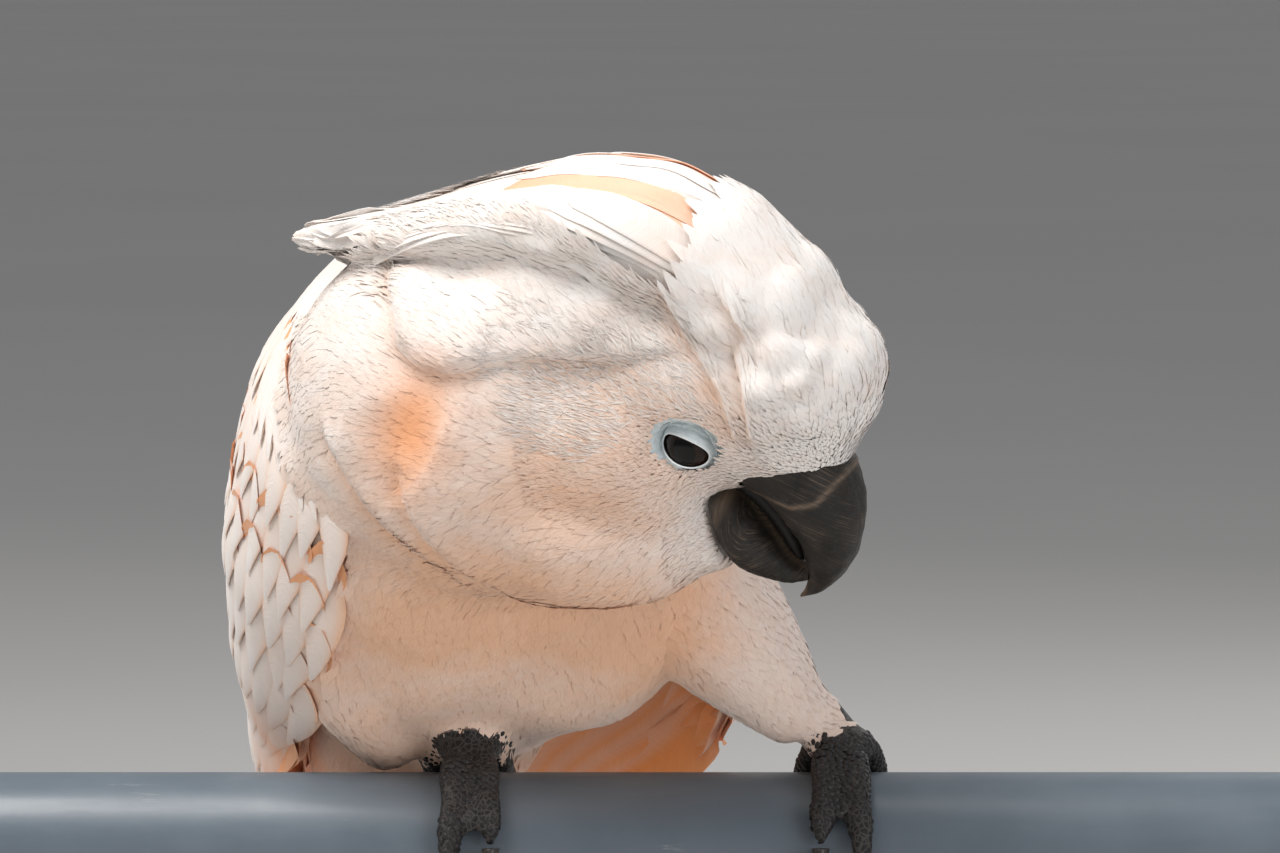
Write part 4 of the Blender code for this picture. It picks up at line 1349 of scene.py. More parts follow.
def sheath(form, share, turn):
    """The smooth outer form of one half of the bill: a grid of points, their normals, and their reach."""
    top, bottom = bezier(form["upper"], share), bezier(form["lower"], share)
    middle, reach = (top + bottom) / 2, (top - bottom) / 2
    across = np.abs(np.sin(turn)) ** 0.82 * np.sign(np.sin(turn))
    wide = eased_stations(form["half_width"], share)[:, None] * across
    flat = middle[:, None] + reach[:, None] * np.cos(turn)[None, :, None]
    grid = np.stack([flat[..., 0], wide, flat[..., 1]], axis=-1)
    around_way = np.roll(grid, -1, axis=1) - np.roll(grid, 1, axis=1)
    normals = unit(np.cross(around_way, np.gradient(grid, axis=0)))
    outward = grid - np.insert(middle, 1, 0.0, axis=1)[:, None]
    normals *= np.sign((normals * outward).sum(axis=-1, keepdims=True).mean())
    return grid, normals.reshape(-1, 3), np.linalg.norm(reach, axis=1)[:, None] * np.ones(len(turn))


def mandible(name, form, is_upper, material, node):
    """One half of the bill: horn with growth ridges, a worn rim and scratches along its growth."""
    share, turn = 0.5 - 0.5 * np.cos(np.linspace(0, pi, 110)), circle(88)
    grid, normals, size = sheath(form, share, turn)
    points = grid.reshape(-1, 3)
    from_rim = (size * (np.abs(turn - pi) if is_upper else np.minimum(turn, 2 * pi - turn))).ravel()
    rim = 0.9 * bell((from_rim - 0.0012) / 0.0011)
    ridges = np.sin(2 * pi * (share * GROWTH_RIDGES)[:, None] + 0.6 * np.sin(2 * turn)[None]).ravel()
    swell = 0.16 * MM * ripple(points * (1.0, 1.0, 0.6), 0.006, 51) + 0.07 * MM * ripple(points, 0.0022, 52)
    swell += 0.035 * MM * ridges + 0.30 * MM * bell((from_rim - 0.0012) / 0.0009)
    if is_upper:
        edge = distance_to_path(points[:, [0, 2]], CERE_EDGE)
        swell += 0.45 * MM * smoothstep(edge, -0.0004, 0.0006) + 0.25 * MM * bell(edge / 0.0007)
        rim = np.maximum(rim, 0.95 * bell(edge / 0.00075))
    else:
        root = 0.6 * bell((share * 0.032 - 0.0035) / 0.0022)
        rim = np.maximum(rim, np.repeat(root, len(turn)))
    fade = np.minimum(1, size.ravel() / 0.004)
    points = points + normals * (swell * fade - SHEATH_SINK)[:, None]
    mesh = ring_mesh(name, HEAD.world(points.reshape(grid.shape)))
    set_number(mesh, "Rim", rim)
    grain = np.broadcast_arrays(turn * size / GRAIN_PITCH, share[:, None] * GRAIN_LENGTHS)
    set_uv(mesh, "Grain", np.stack(grain, axis=-1))
    return link(name, mesh, material, [node])


def tongue_mesh():
    """The thick, blunt tongue, grooved along its upper side, that fills the slit of the open bill."""
    share, turn = np.linspace(0.0, 1.0, 40), circle(36)
    middle = bezier(TONGUE, share)
    ahead = unit(np.gradient(middle, axis=0))
    rise = np.stack([-ahead[:, 1], ahead[:, 0]], axis=1)
    taper = (np.clip(1 - share**6, 0.02, 1) ** 0.5 * (1.15 - 0.62 * share))[:, None]
    groove = 1 - 0.16 * bell((turn - pi / 2) / 0.35)
    thick = TONGUE_HALF_DEPTH * taper * np.sin(turn) * groove * (1 + 0.04 * np.sin(46 * share)[:, None])
    flat = middle[:, None] + rise[:, None] * thick[..., None]
    wide = TONGUE_HALF_WIDTH * taper * np.cos(turn)
    return ring_mesh("tongue", HEAD.world(np.stack([flat[..., 0], wide, flat[..., 1]], axis=-1)))


class COCKATOO_OT_bill(bpy.types.Operator):
    """Builds both halves of the bill and the tongue between them"""

    bl_idname = "cockatoo.bill"
    bl_label = "Bill"

    def execute(self, context):
        material = bill_material()
        mandible("mandible_upper", UPPER_BILL, True, material, "bill_upper")
        mandible("mandible_lower", LOWER_BILL, False, material, "bill_lower")
        link("tongue", tongue_mesh(), tongue_material())
        return {"FINISHED"}


TOE_RADIUS = 4.6 * MM
# Each toe's way round the rail (-1 front, 1 back), the angle at which it ends, and its place across the foot.
TOE_WRAPS = {"inner_front": (-1, 84, 0.0058), "outer_front": (-1, 100, -0.0052),
             "inner_back": (1, 62, 0.0100), "outer_back": (1, 82, -0.0110)}
CLAW_WRAP = 34                # degrees of the rail that a claw takes
LEAST_CLEARANCE = 0.3 * MM    # from the rail to a claw


def rail_points(x, way, wrap, height):
    """Points at heights over the rail, wrap radians from its top towards way (-1 front, 1 back)."""
    reach = RAIL_RADIUS + height
    return np.stack([x, way * reach * np.sin(wrap), RAIL_AXIS_HEIGHT + reach * np.cos(wrap)], axis=-1)


def claw_mesh(name, x, way, wrap, offset):
    """A hooked claw that carries on from the toe's end and turns in to the rail."""
    around, steps = 28, 40
    turn = circle(around)
    keel = 1 - 0.25 * np.clip(-np.cos(turn), 0, 1)
    rings = []
    for share in np.linspace(0, 1, steps):
        angle = radians(wrap + 1.5 + CLAW_WRAP * share)
        size = TOE_RADIUS * (0.66 * (1 - share) ** 0.75 + 0.05) * (1 + 0.02 * sin(70 * share))
        middle = TOE_RADIUS * (1.05 + 0.55 * sin(pi * share)) * (1 - 0.75 * share**2)
        height = np.maximum(middle + size * np.cos(turn) * 1.15, LEAST_CLEARANCE)
        rings.append(rail_points(x + offset * 1.1 + size * np.sin(turn) * 0.8 * keel, way, angle, height))
    mesh = ring_mesh(name, rings)
    grain = np.broadcast_arrays(np.cos(turn) * 5, (np.arange(steps) * 0.9)[:, None])
    set_uv(mesh, "Grain", np.stack(grain, axis=-1))
    return mesh


class COCKATOO_OT_claws(bpy.types.Operator):
    """Builds the eight claws that grip the rail"""

    bl_idname = "cockatoo.claws"
    bl_label = "Claws"

    def execute(self, context):
        material = claw_material()
        for side, sign in SIDES:
            for place, (way, wrap, offset) in TOE_WRAPS.items():
                name = f"{side}_{place}"
                mesh = claw_mesh("horn_" + name, FOOT_SPOTS[side][0], way, wrap, -sign * offset)
                link("horn_" + name, mesh, material, ["claw_" + name])
        return {"FINISHED"}


# ---- foot scales
SCALE_CORNERS = 7
# The rings of a scale's plate: their share of its size, their height over the skin, and how worn they are.
SCALE_RINGS = (0.62, 0.20 * MM, 0.45), (1.0, -0.28 * MM, 1.0)
SCALE_CROWN = 0.30 * MM       # height of its middle
SCALES_OVER_RAIL = 0.6 * MM, 11.5 * MM      # the least height over the rail, and the greatest over its top


def scale_faces():
    """The triangles of one plate: a fan round its middle, and a band from that to its sunk edge."""
    inner = 1 + np.arange(SCALE_CORNERS)
    after = np.roll(inner, -1)
    outer, outer_after = inner + SCALE_CORNERS, after + SCALE_CORNERS
    parts = (np.zeros_like(inner), inner, after), (inner, outer, outer_after), (inner, outer_after, after)
    return np.concatenate([np.stack(part, axis=1) for part in parts])


def grow_scales(name, points, normals, sizes, rng, material):
    """Small domed plates, each a fan of triangles with a raised middle and sunk edges."""
    count = len(points)
    spin = rng.random(count) * 2 * pi
    first = flatten(np.roll(normals, 1, axis=1) + 0.01, normals)
    second = np.cross(normals, first)
    stacked = [points + normals * SCALE_CROWN]
    edge = [np.zeros(count)]
    for reach, height, worn in SCALE_RINGS:
        for corner in range(SCALE_CORNERS):
            angle = spin + 2 * pi * corner / SCALE_CORNERS
            size = (sizes * reach * (0.85 + 0.3 * rng.random(count)))[:, None]
            offset = first * np.cos(angle)[:, None] + second * np.sin(angle)[:, None] * 0.82
            stacked.append(points + offset * size + normals * height)
            edge.append(np.full(count, worn))
    stacked, edge = np.stack(stacked, axis=1), np.stack(edge, axis=1)
    mesh = new_mesh(name, stacked.reshape(-1, 3), repeated(scale_faces(), count, stacked.shape[1]))
    set_number(mesh, "Edge", edge)
    spread = np.stack([edge * np.cos(edge * 9), edge * np.sin(edge * 9)], axis=-1)
    set_uv(mesh, "OFBake", np.clip(bake_spots(points)[:, None] + 0.0015 * spread, 0, 1))
    return link(name, mesh, material)


class COCKATOO_OT_scales(bpy.types.Operator):
    """Covers the feet and toes in small domed scales"""

    bl_idname = "cockatoo.scales"
    bl_label = "Foot scales"

    def execute(self, context):
        rng = np.random.default_rng(settings("plumage").seed + 100)
        guide, labels = shared["guide"], shared["face_labels"]
        material = scale_material()
        pitch = settings("skin").scale_pitch
        least, most = SCALES_OVER_RAIL
        for side, _ in SIDES:
            chosen = np.char.startswith(labels, "toe_" + side) | np.char.startswith(labels, "foot_" + side)
            from_axis = np.hypot(guide.centres[:, 1], guide.centres[:, 2] - RAIL_AXIS_HEIGHT)
            clear = from_axis > RAIL_RADIUS + least
            clear &= guide.centres[:, 2] < RAIL_AXIS_HEIGHT + RAIL_RADIUS + most
            points = scatter(guide, chosen & clear, lambda at: np.full(len(at), pitch), rng)
            points, normals, _ = guide.nearest(points)
            sizes = pitch * (0.72 + 0.25 * rng.random(len(points)))
            grow_scales("foot_scales_" + side, points - normals * 0.2 * MM, normals, sizes, rng, material)
        return {"FINISHED"}


# ---- coat tracts
# Where the crown's fringe ends over the crest, as a path over the side of the head in millimetres.
FRINGE = [
    (-128, 16), (-103, 29), (-93, 36), (-77, 46), (-55, 52), (-28, 46), (-13, 41), (-6, 33), (3, 27), (8, 21),
    (13, 14), (20, 8),
]


def away_from(*nodes, gap):
    """A test of which of the guide's triangles lie further than the gap from these nodes."""
    solid, _ = node_surface(*nodes)
    found = [solid.tree.find_nearest(point, gap)[0] is None for point in shared["guide"].centres.tolist()]
    return np.array(found)


def measure(value, at):
    """A measure in metres at each place, from one in millimetres, either fixed or a function of place."""
    return (value(at) if callable(value) else np.full(len(at), float(value))) * MM


def tract(name, chosen, spacing, size, half_width, vane, lie, material, cling, sway, tint=markings):
    """Grows tufts over the chosen part of the guide. Spacing, size and half width are in millimetres."""
    plumage = settings("plumage")
    rng = np.random.default_rng(plumage.seed + sum(map(ord, name)))
    guide = shared["guide"]
    roots = scatter(guide, chosen, lambda at: measure(spacing, at) / plumage.thickness, rng)
    count = len(roots)
    rim = rims(roots)
    lengths = measure(size, roots) * rng.uniform(0.82, 1.15, count) * (1 + 0.25 * rim)
    widths = measure(half_width, roots) * rng.uniform(0.85, 1.15, count)
    turns = rng.normal(0, sway, count)
    centres, normals = trace(guide, roots, lie, lengths, vane.rows, cling - 0.5 * rim, turns)
    return grow_vanes(name, vane, centres, normals, lengths, widths, rng, material, tint=tint)


class Facts:
    """What the tracts choose their places by: where the guide's triangles are, and what they are clear of."""

    def __init__(self):
        centres = shared["guide"].centres
        self.labels = shared["face_labels"]
        self.head = HEAD.local(centres)
        self.body = BODY.local(centres)
        self.zone = eye_zone(centres)
        self.fringe_gap = distance_to_path(fold_places(centres)[0], FRINGE)
        above = self.fringe_gap > 0
        self.crown = ~above & (away_from("crest", gap=2.0 * MM) | (self.head[:, 0] > -0.100))
        self.forehead = above & (self.head[:, 0] > -0.006) & (self.head[:, 2] > -0.010)
        self.off_bill = away_from("bill_upper", "bill_lower", gap=0.9 * MM)
        self.off_wings = away_from("wing_right", "wing_left", gap=3.0 * MM)
        self.off_flight = away_from("primaries_right", "primaries_left", "tail", gap=1.5 * MM)

    def on(self, node):
        return np.char.startswith(self.labels, node)

    def sides(self, chosen, gap=0.0):
        """The chosen triangles on each side of the head, further than the gap from its middle."""
        return [(side, chosen & (self.head[:, 1] * sign > gap)) for side, sign in SIDES]


def facts():
    if "facts" not in shared:
        shared["facts"] = Facts()
    return shared["facts"]


class COCKATOO_OT_face(bpy.types.Operator):
    """Lays the short silky feathers of the face, cheeks and throat"""

    bl_idname = "cockatoo.face"
    bl_label = "Face feathers"

    def execute(self, context):
        material = feather_material("face_feather", bump=0.00022, streak=0.8)
        known = facts()
        region = known.on("head") & known.off_bill & ~known.forehead & known.crown & (known.zone > 1.0)

        def far(at, least, most):
            """The least beside the bill and the eyes, growing to the most at the back of the cheeks."""
            reach = np.linalg.norm(HEAD.local(at) - BILL_ROOT, axis=1)
            share = np.minimum(smoothstep(reach, 0.010, 0.060), smoothstep(eye_zone(at), 0.95, 2.4))
            return least + (most - least) * share

        vane = Vane(4, 3, (0.55, 0.9, 1.0, 0.8, 0.3), depth=0.45, lift=0.03, pitch=0.34, cup=0.05, point=0.35,
                    fray=0.22, blush=0.15, soft=0.85)
        for side, chosen in known.sides(region):
            tract("face_feathers_" + side, chosen, lambda at: far(at, 0.66, 0.86),
                  lambda at: far(at, 2.4, 6.8), lambda at: far(at, 0.56, 0.86), vane, head_lie, material,
                  cling=0.97, sway=0.22)
        return {"FINISHED"}


class COCKATOO_OT_silk(bpy.types.Operator):
    """Lays the longer, glossy strands over the ears and below the crown"""

    bl_idname = "cockatoo.silk"
    bl_label = "Ear and brow strands"

    def execute(self, context):
        material = feather_material("silk_feather", bump=0.00024, roughness=0.46, streak=1.0)
        known = facts()
        ahead, _, up = known.head.T / MM
        ears = bell(((ahead + 30) / 17) ** 2 + ((up - 1) / 9) ** 2) > 0.4
        brow = (ahead > -56) & (ahead < 8) & (up > 6) & (up < 29)
        vane = Vane(5, 2, (0.6, 0.9, 1.0, 0.7, 0.15), depth=0.5, lift=0.30, pitch=0.26, cup=0.06, point=0.40,
                    fray=0.10, curl=0.006, blush=0.10, soft=0.75)
        for side, clear in known.sides((known.zone > 1.15) & known.crown, 0.010):
            # The ear strands' paler tint is painted sheen.
            tract("ear_silk_" + side, clear & ears, 0.90, 8.5, 0.36, vane, head_lie, material, cling=0.88,
                  sway=0.18, tint=pale_markings)
            tract("brow_silk_" + side, clear & brow, 1.15, 8.0, 0.40, vane, head_lie, material, cling=0.80,
                  sway=0.38, tint=pale_markings)
        return {"FINISHED"}


class COCKATOO_OT_forehead(bpy.types.Operator):
    """Lays the puffed, rounded feathers that swell over the brow"""

    bl_idname = "cockatoo.forehead"
    bl_label = "Forehead feathers"

    def execute(self, context):
        material = feather_material("forehead_feather", bump=0.00012)
        known = facts()

        def high(at, least, most):
            """The least beside the bill, growing to the most on top of the forehead."""
            return least + (most - least) * smoothstep(HEAD.local(at)[:, 2], 0.012, 0.032)

        vane = Vane(7, 4, (0.5, 0.9, 1.0, 0.95, 0.7, 0.32), depth=0.6, lift=0.04, pitch=0.34, cup=0.02,
                    point=0.40, fray=0.20, blush=0.06, soft=0.92)
        for side, chosen in known.sides(known.forehead & known.off_bill):
            tract("forehead_feathers_" + side, chosen, lambda at: high(at, 0.85, 1.70),
                  lambda at: high(at, 4.0, 12.0), lambda at: high(at, 0.8, 2.4), vane, head_lie, material,
                  cling=0.99, sway=0.14)
        return {"FINISHED"}


class COCKATOO_OT_ruff(bpy.types.Operator):
    """Lays the fringed feathers of the crown and nape and the raised ruff behind the cheeks"""

    bl_idname = "cockatoo.ruff"
    bl_label = "Crown and ruff"

    def execute(self, context):
        material = feather_material("ruff_feather", bump=0.00018, streak=0.5)
        known = facts()
        ahead, side_way, up = known.head.T
        vane = Vane(6, 4, (0.5, 0.9, 1.0, 0.8, 0.35), depth=0.7, lift=0.04, pitch=0.34, cup=0.02, point=0.35,
                    fray=0.20, blush=0.10, soft=0.92)
        high = up > -0.002
        for side, chosen in known.sides(known.on("neck") & known.crown & known.off_wings):
            tract("crown_feathers_" + side, chosen & high, 1.35, 11.5, 1.7, vane, head_lie, material,
                  cling=0.97, sway=0.12)
            tract("ruff_feathers_" + side, chosen & ~high, 1.45, 12.0, 2.0, vane, neck_lie, material,
                  cling=0.98, sway=0.12)
        edge = (known.fringe_gap < 0.5) & (known.fringe_gap > -5.5) & (ahead < 0.010)
        edge &= (known.crown | (known.fringe_gap > 0)) & (np.abs(side_way) > 0.004)
        back = known.on("neck") & (ahead < -0.088) & (up > 0.012) & known.crown
        fringe = Vane(5, 2, (0.6, 1.0, 0.9, 0.6, 0.12), depth=0.7, lift=0.6, pitch=0.26, cup=0.06, point=0.40,
                      fray=0.20, curl=0.03, blush=0.30, soft=0.75)
        tract("fringe_feathers", edge, 1.1, 8.0, 0.66, fringe, head_lie, material, cling=0.90, sway=0.18)
        tract("nape_fringe", back, 1.6, 11.0, 0.70, fringe, head_lie, material, cling=0.86, sway=0.16)
        return {"FINISHED"}


class COCKATOO_OT_trunk(bpy.types.Operator):
    """Lays the soft feathers of the breast, belly, back and vent"""

    bl_idname = "cockatoo.trunk"
    bl_label = "Trunk feathers"

    def execute(self, context):
        material = feather_material("trunk_feather", bump=0.00014, streak=0.35)
        known = facts()
        region = known.on("trunk") & known.off_wings & known.off_flight
        front = known.body[:, 0] > -0.012
        vent = known.body[:, 2] < -0.062
        soft = Vane(6, 5, (0.45, 0.9, 1.0, 0.9, 0.5), depth=0.9, lift=0.08, pitch=0.40, cup=0.03, point=0.34,
                    fray=0.22, blush=0.12, soft=0.85)
        firm = Vane(8, 8, (0.4, 0.8, 1.0, 1.0, 0.75), depth=1.8, lift=0.5, arch=0.3, pitch=0.5, ridge=0.2,
                    cup=0.08, point=0.45, fray=0.03, slant=0.9, blush=0.30)
        for name, chosen, spacing, size, half_width, vane, cling, sway in (
            ("breast_feathers", front & ~vent, 2.1, 13.0, 3.2, soft, 0.97, 0.13),
            ("back_feathers", ~front, 5.0, 21.0, 7.2, firm, 0.97, 0.08),
            ("vent_feathers", front & vent, 2.8, 18.0, 3.4, soft, 0.94, 0.14),
        ):
            tract(name, region & chosen, spacing, size, half_width, vane, body_lie, material, cling, sway)
        return {"FINISHED"}


class COCKATOO_OT_thighs(bpy.types.Operator):
    """Lays the short feathers of the thighs"""

    bl_idname = "cockatoo.thighs"
    bl_label = "Thigh feathers"

    def execute(self, context):
        material = feather_material("thigh_feather", bump=0.00014, streak=0.35)
        known = facts()
        vane = Vane(5, 4, (0.5, 0.9, 1.0, 0.8, 0.4), depth=1.1, lift=0.1, pitch=0.36, cup=0.08, point=0.35,
                    fray=0.30, blush=0.10, soft=0.82)
        for side, _ in SIDES:
            tract("thigh_feathers_" + side, known.on("thigh_" + side) & known.off_wings, 1.5, 9.5, 2.2, vane,
                  thigh_lie, material, cling=0.93, sway=0.15)
        return {"FINISHED"}


# ---- wings, tail and crest
WING_TOP, WING_TIP = 0.079, -0.219
WING_SWEEP = radians(-62), radians(89)
COVERT_SINK = -0.2 * MM       # height of the coverts' centre lines over the wing


def wing_ray(sign, inward):
    """Rays square to the body axis that meet a folded wing's outer face, or its inner face from within."""
    def ray(level, turn):
        middle = np.array((-0.006 - 0.010 * float(smoothstep(np.array(-level), 0.05, 0.16)), 0.0, level))
        way = np.array((-sin(turn), sign * cos(turn), 0.0))
        if inward:
            return BODY.world(middle + way * 0.25), BODY.turn(-way)
        return BODY.world(middle), BODY.turn(way)
    return ray


def axis_outward(points):
    """From the body axis out to each point, square to the axis."""
    return points - BODY.world(BODY.local(points) * (0, 0, 1))


def axis_inward(points):
    return -axis_outward(points)


def evenly(ends, count):
    """Values that run evenly through the ends, or one value for all."""
    return np.interp(np.linspace(0, 1, count), np.linspace(0, 1, len(ends)), ends)


class Sheet:
    """A patch, the side it faces and what its feathers are made with."""

    def __init__(self, patch, outward, rng, material):
        self.patch, self.outward, self.rng, self.material = patch, outward, rng, material

    def lay(self, name, vane, starts, ends, across, drift, half_widths, heights, slot, nodes=(), flame=None,
            tint=markings):
        """Feathers that run between shares of the patch's length, each at its place across the patch."""
        share = np.linspace(0, 1, vane.rows + 1)[:, None]
        along = starts + (ends - starts) * share
        places = across + drift * share**1.5
        centres = self.patch.at(along, places)
        normals = self.patch.normal(np.clip(along, 0.02, 0.97), np.clip(places, 0.03, 0.97), self.outward)
        count = len(across)
        centres = centres + normals * np.broadcast_to(heights, count)[None, :, None]
        lengths = np.linalg.norm(np.diff(centres, axis=0), axis=2).sum(axis=0)
        half_widths = np.broadcast_to(half_widths, count)
        return grow_vanes(name, vane, centres, normals, lengths, half_widths, self.rng, self.material,
                          nodes, lifts=np.full(count, vane.lift), flame=flame, tint=tint)

    def stack(self, name, vane, count, starts, ends, across, widths, heights, slot, drift=0.0, **kind):
        """One row of long feathers, each lying over the one before it. Widths and heights are in mm."""
        slips = drift * (0.5 - np.linspace(0, 1, count))
        return self.lay(name, vane, evenly(starts, count), evenly(ends, count), evenly(across, count), slips,
                        evenly(widths, count) * MM, evenly(heights, count) * MM, slot, **kind)


def covert_rows(first, last, rows, width, reach):
    """Starts, ends, places across and sizes of staggered rows of coverts. They grow down the wing."""
    found = []
    for row in range(rows):
        share = row / (rows - 1)
        count = int(1 / (width[0] + (width[1] - width[0]) * share))
        start = first + (last - first) * share
        end = start + reach[0] + (reach[1] - reach[0]) * share
        found += [(start, end, (i + 0.25 + 0.5 * (row % 2)) / count, share) for i in range(count)]
    return np.array(found).T


class COCKATOO_OT_wings(bpy.types.Operator):
    """Lays the coverts and long flight feathers of the folded wings, and the bright feathers inside them"""

    bl_idname = "cockatoo.wings"
    bl_label = "Wing feathers"

    def execute(self, context):
        rng = np.random.default_rng(settings("plumage").seed + 200)
        material = feather_material("wing_feather", bump=0.00020, roughness=0.58)
        covert = Vane(12, 8, (0.4, 0.75, 0.95, 1.0, 0.92, 0.66, 0.18), depth=2.4, lift=0.9, arch=0.8,
                      pitch=0.5, ridge=0.25, cup=0.20, point=0.30, fray=0.03, slant=0.9, blush=0.35,
                      margin=0.75, soft=0.4)
        quill = Vane(18, 8, (0.5, 0.9, 1.0, 1.0, 0.98, 0.85, 0.6), depth=0.4, pitch=0.55, thick=0.45,
                     ridge=0.5, cup=0.10, point=0.16, fray=0.012, slant=1.0, blush=0.25)
        for side, sign in SIDES:
            solid, _ = node_surface("wing_" + side, "primaries_" + side)
            outer = Patch(solid, wing_ray(sign, True), (WING_TOP, WING_TIP), WING_SWEEP, steps=44)
            inner = Patch(solid, wing_ray(sign, False), (WING_TOP - 0.01, WING_TIP), WING_SWEEP, steps=44)
            self.outside(side, Sheet(outer, axis_outward, rng, material), covert, quill)
            self.inside(side, Sheet(inner, axis_inward, rng, material), covert, quill)
        return {"FINISHED"}

    def outside(self, side, sheet, covert, quill):
        """The rows of pale coverts with salmon margins, and the flight feathers under them."""
        starts, ends, across, sizes = covert_rows(-0.02, 0.50, 9, (0.058, 0.075), (0.125, 0.190))
        jitter = sheet.rng.normal(0, 1, (4, len(starts)))

        def margin(along, across):
            return 0.30 * np.abs(across) ** 5 * along

        sheet.lay("wing_coverts_" + side, covert, starts + 0.004 * jitter[0], ends + 0.006 * jitter[1],
                  across + 0.006 * jitter[2], 0.009 * jitter[3], (6.2 + 1.4 * sizes) * MM, COVERT_SINK,
                  "plumage", flame=margin, tint=pale_markings)
        sheet.stack("secondaries_" + side, quill, 9, (0.36, 0.42), (0.80, 0.72), (0.30, 0.97), [8.5],
                    (-0.9, -0.35), "flight_feathers", drift=0.03)
        sheet.stack("primary_quills_" + side, quill, 9, (0.52, 0.50), (0.90, 1.0), (0.16, 0.80), [7.4],
                    (-1.6, -1.05), "flight_feathers", drift=0.03, nodes=["primaries_" + side])

    def inside(self, side, sheet, covert, quill):
        """The bright inner face: small coverts above and the quills' undersides below."""
        def glow(along, across):
            return 0.64 + 0.28 * bell(across / 0.25) - 0.14 * along

        starts, ends, across, sizes = covert_rows(0.06, 0.50, 9, (0.085, 0.10), (0.09, 0.12))
        sheet.lay("wing_lining_" + side, covert, starts, ends, across, 0.0, (6.2 + 1.5 * sizes) * MM,
                  COVERT_SINK, "plumage", flame=glow)
        sheet.stack("quill_undersides_" + side, quill, 10, [0.46], (0.84, 0.97), (0.94, 0.06), [10.0],
                    (-0.6, -0.2), "flight_feathers", flame=glow)


class COCKATOO_OT_tail(bpy.types.Operator):
    """Lays the square fan of the tail, with its coverts above and its bright underside"""

    bl_idname = "cockatoo.tail"
    bl_label = "Tail feathers"

    def execute(self, context):
        rng = np.random.default_rng(settings("plumage").seed + 300)
        material = feather_material("tail_feather", bump=0.00020, roughness=0.58)
        solid, _ = node_surface("tail")
        quill = Vane(16, 8, (0.55, 0.85, 1.0, 1.05, 1.05, 0.8), depth=0.3, pitch=0.55, thick=0.45, ridge=0.5,
                     cup=0.10, point=0.12, fray=0.012, slant=1.0, blush=0.2)

        def glow(along, across):
            return 0.55 - 0.30 * along + 0.2 * bell(across / 0.2)

        for face, way, nodes, flame in (("above", -1, ["tail"], None), ("below", 1, (), glow)):
            def ray(level, turn):
                return BODY.world((way * 0.12, turn, level)), BODY.turn((-way, 0, 0))

            def outward(points):
                return np.broadcast_to(BODY.turn((float(way), 0, 0)), points.shape)

            patch = Patch(solid, ray, (-0.103, -0.243), (-0.045, 0.045), steps=30)
            sheet = Sheet(patch, outward, rng, material)
            sheet.stack("tail_" + face, quill, 12, [0.0], (0.97, 1.0, 0.97), (0.04, 0.96), [6.6],
                        (-0.5, -0.05, -0.5), "flight_feathers", nodes=nodes, flame=flame)
        return {"FINISHED"}


# The lower edge of the crest's feathers, just under the crown's fringe, as (x, z) in mm over the head's side.
CREST_FOOT = [
    (-135, -5), (-114, 6), (-104, 22), (-92, 33), (-77, 43), (-55, 49), (-28, 43), (-13, 38), (0, 32),
    (31, 28),
]


class COCKATOO_OT_crest(bpy.types.Operator):
    """Lays the long crest: broad white feathers over a core of flame-coloured ones"""

    bl_idname = "cockatoo.crest"
    bl_label = "Crest feathers"

    def execute(self, context):
        rng = np.random.default_rng(settings("plumage").seed + 400)
        material = feather_material("crest_feather", bump=0.00012, roughness=0.58)
        foot = np.array(CREST_FOOT).T * MM
        broad = Vane(24, 12, (0.45, 0.85, 1.0, 1.05, 1.0, 0.9, 0.62), depth=3.2, pitch=0.42, thick=0.35,
                     ridge=0.15, cup=0.07, point=0.12, fray=0.015, slant=0.55, blush=0.10, soft=0.5)

        def outward(points):
            return HEAD.turn(HEAD.local(points) * (0, 1, 0) + (0, 0, 0.004))

        for side, sign in SIDES:
            def ray(level, turn):
                height = np.interp(level, *foot) + turn
                return HEAD.world((level, sign * 0.08, height)), HEAD.turn((0, -sign, 0))

            patch = Patch(shared["guide"], ray, (0.031, -0.132), (0.0, 0.078), steps=44, scans=150)
            sheet = Sheet(patch, outward, rng, material)
            sheet.stack("crest_core_" + side, broad, 6, [0.17], (0.64, 0.60), (0.56, 0.97), (6.0, 4.5),
                        (-0.7, -0.5), "crest", flame=lambda along, across: 0.50 + 0.20 * along)
            sheet.stack("crest_rear_" + side, broad, 7, (0.40, 0.45), (0.97, 1.0, 1.0, 0.98), (0.08, 0.94),
                        (5.4, 5.2), (-0.5, -0.3), "crest")
            sheet.stack("crest_side_" + side, broad, 9, (0.17, 0.20), (0.60, 0.74, 0.80, 0.66, 0.50),
                        (0.02, 0.50), (6.2, 5.0), (-0.6, 0.3), "crest")
            sheet.stack("crest_top_" + side, broad, 4, (0.16, 0.18), (0.62, 0.57), (0.955, 1.0), (3.6, 4.4),
                        (0.0, 0.5), "crest", nodes=["crest"])
        return {"FINISHED"}


# ---- perch, stand and stage
RAIL_EDGE = 0.4 * MM          # the chamfer at each end of the rail
CAP_GAP = 0.3 * MM            # between the rail's end and its cap
AIM = 0.0, -0.085, 0.306      # what the camera looks at
CAMERA_DROP = radians(4)
LAMP_TARGET = 0.0, -0.03, 0.27
# The lamps: place, size, the setting that gives its power, its share of that, and its tint.
LAMPS = {
    "key": ((-0.80, -0.62, 1.95), 1.5, "key_power", 1.0, (1.0, 0.975, 0.94)),
    "fill": ((1.7, -1.9, 0.75), 1.5, "fill_power", 1.0, (0.95, 0.97, 1.0)),
    "back": ((1.1, 1.9, 1.4), 1.4, "fill_power", 0.6, (1.0, 0.98, 0.96)),
}


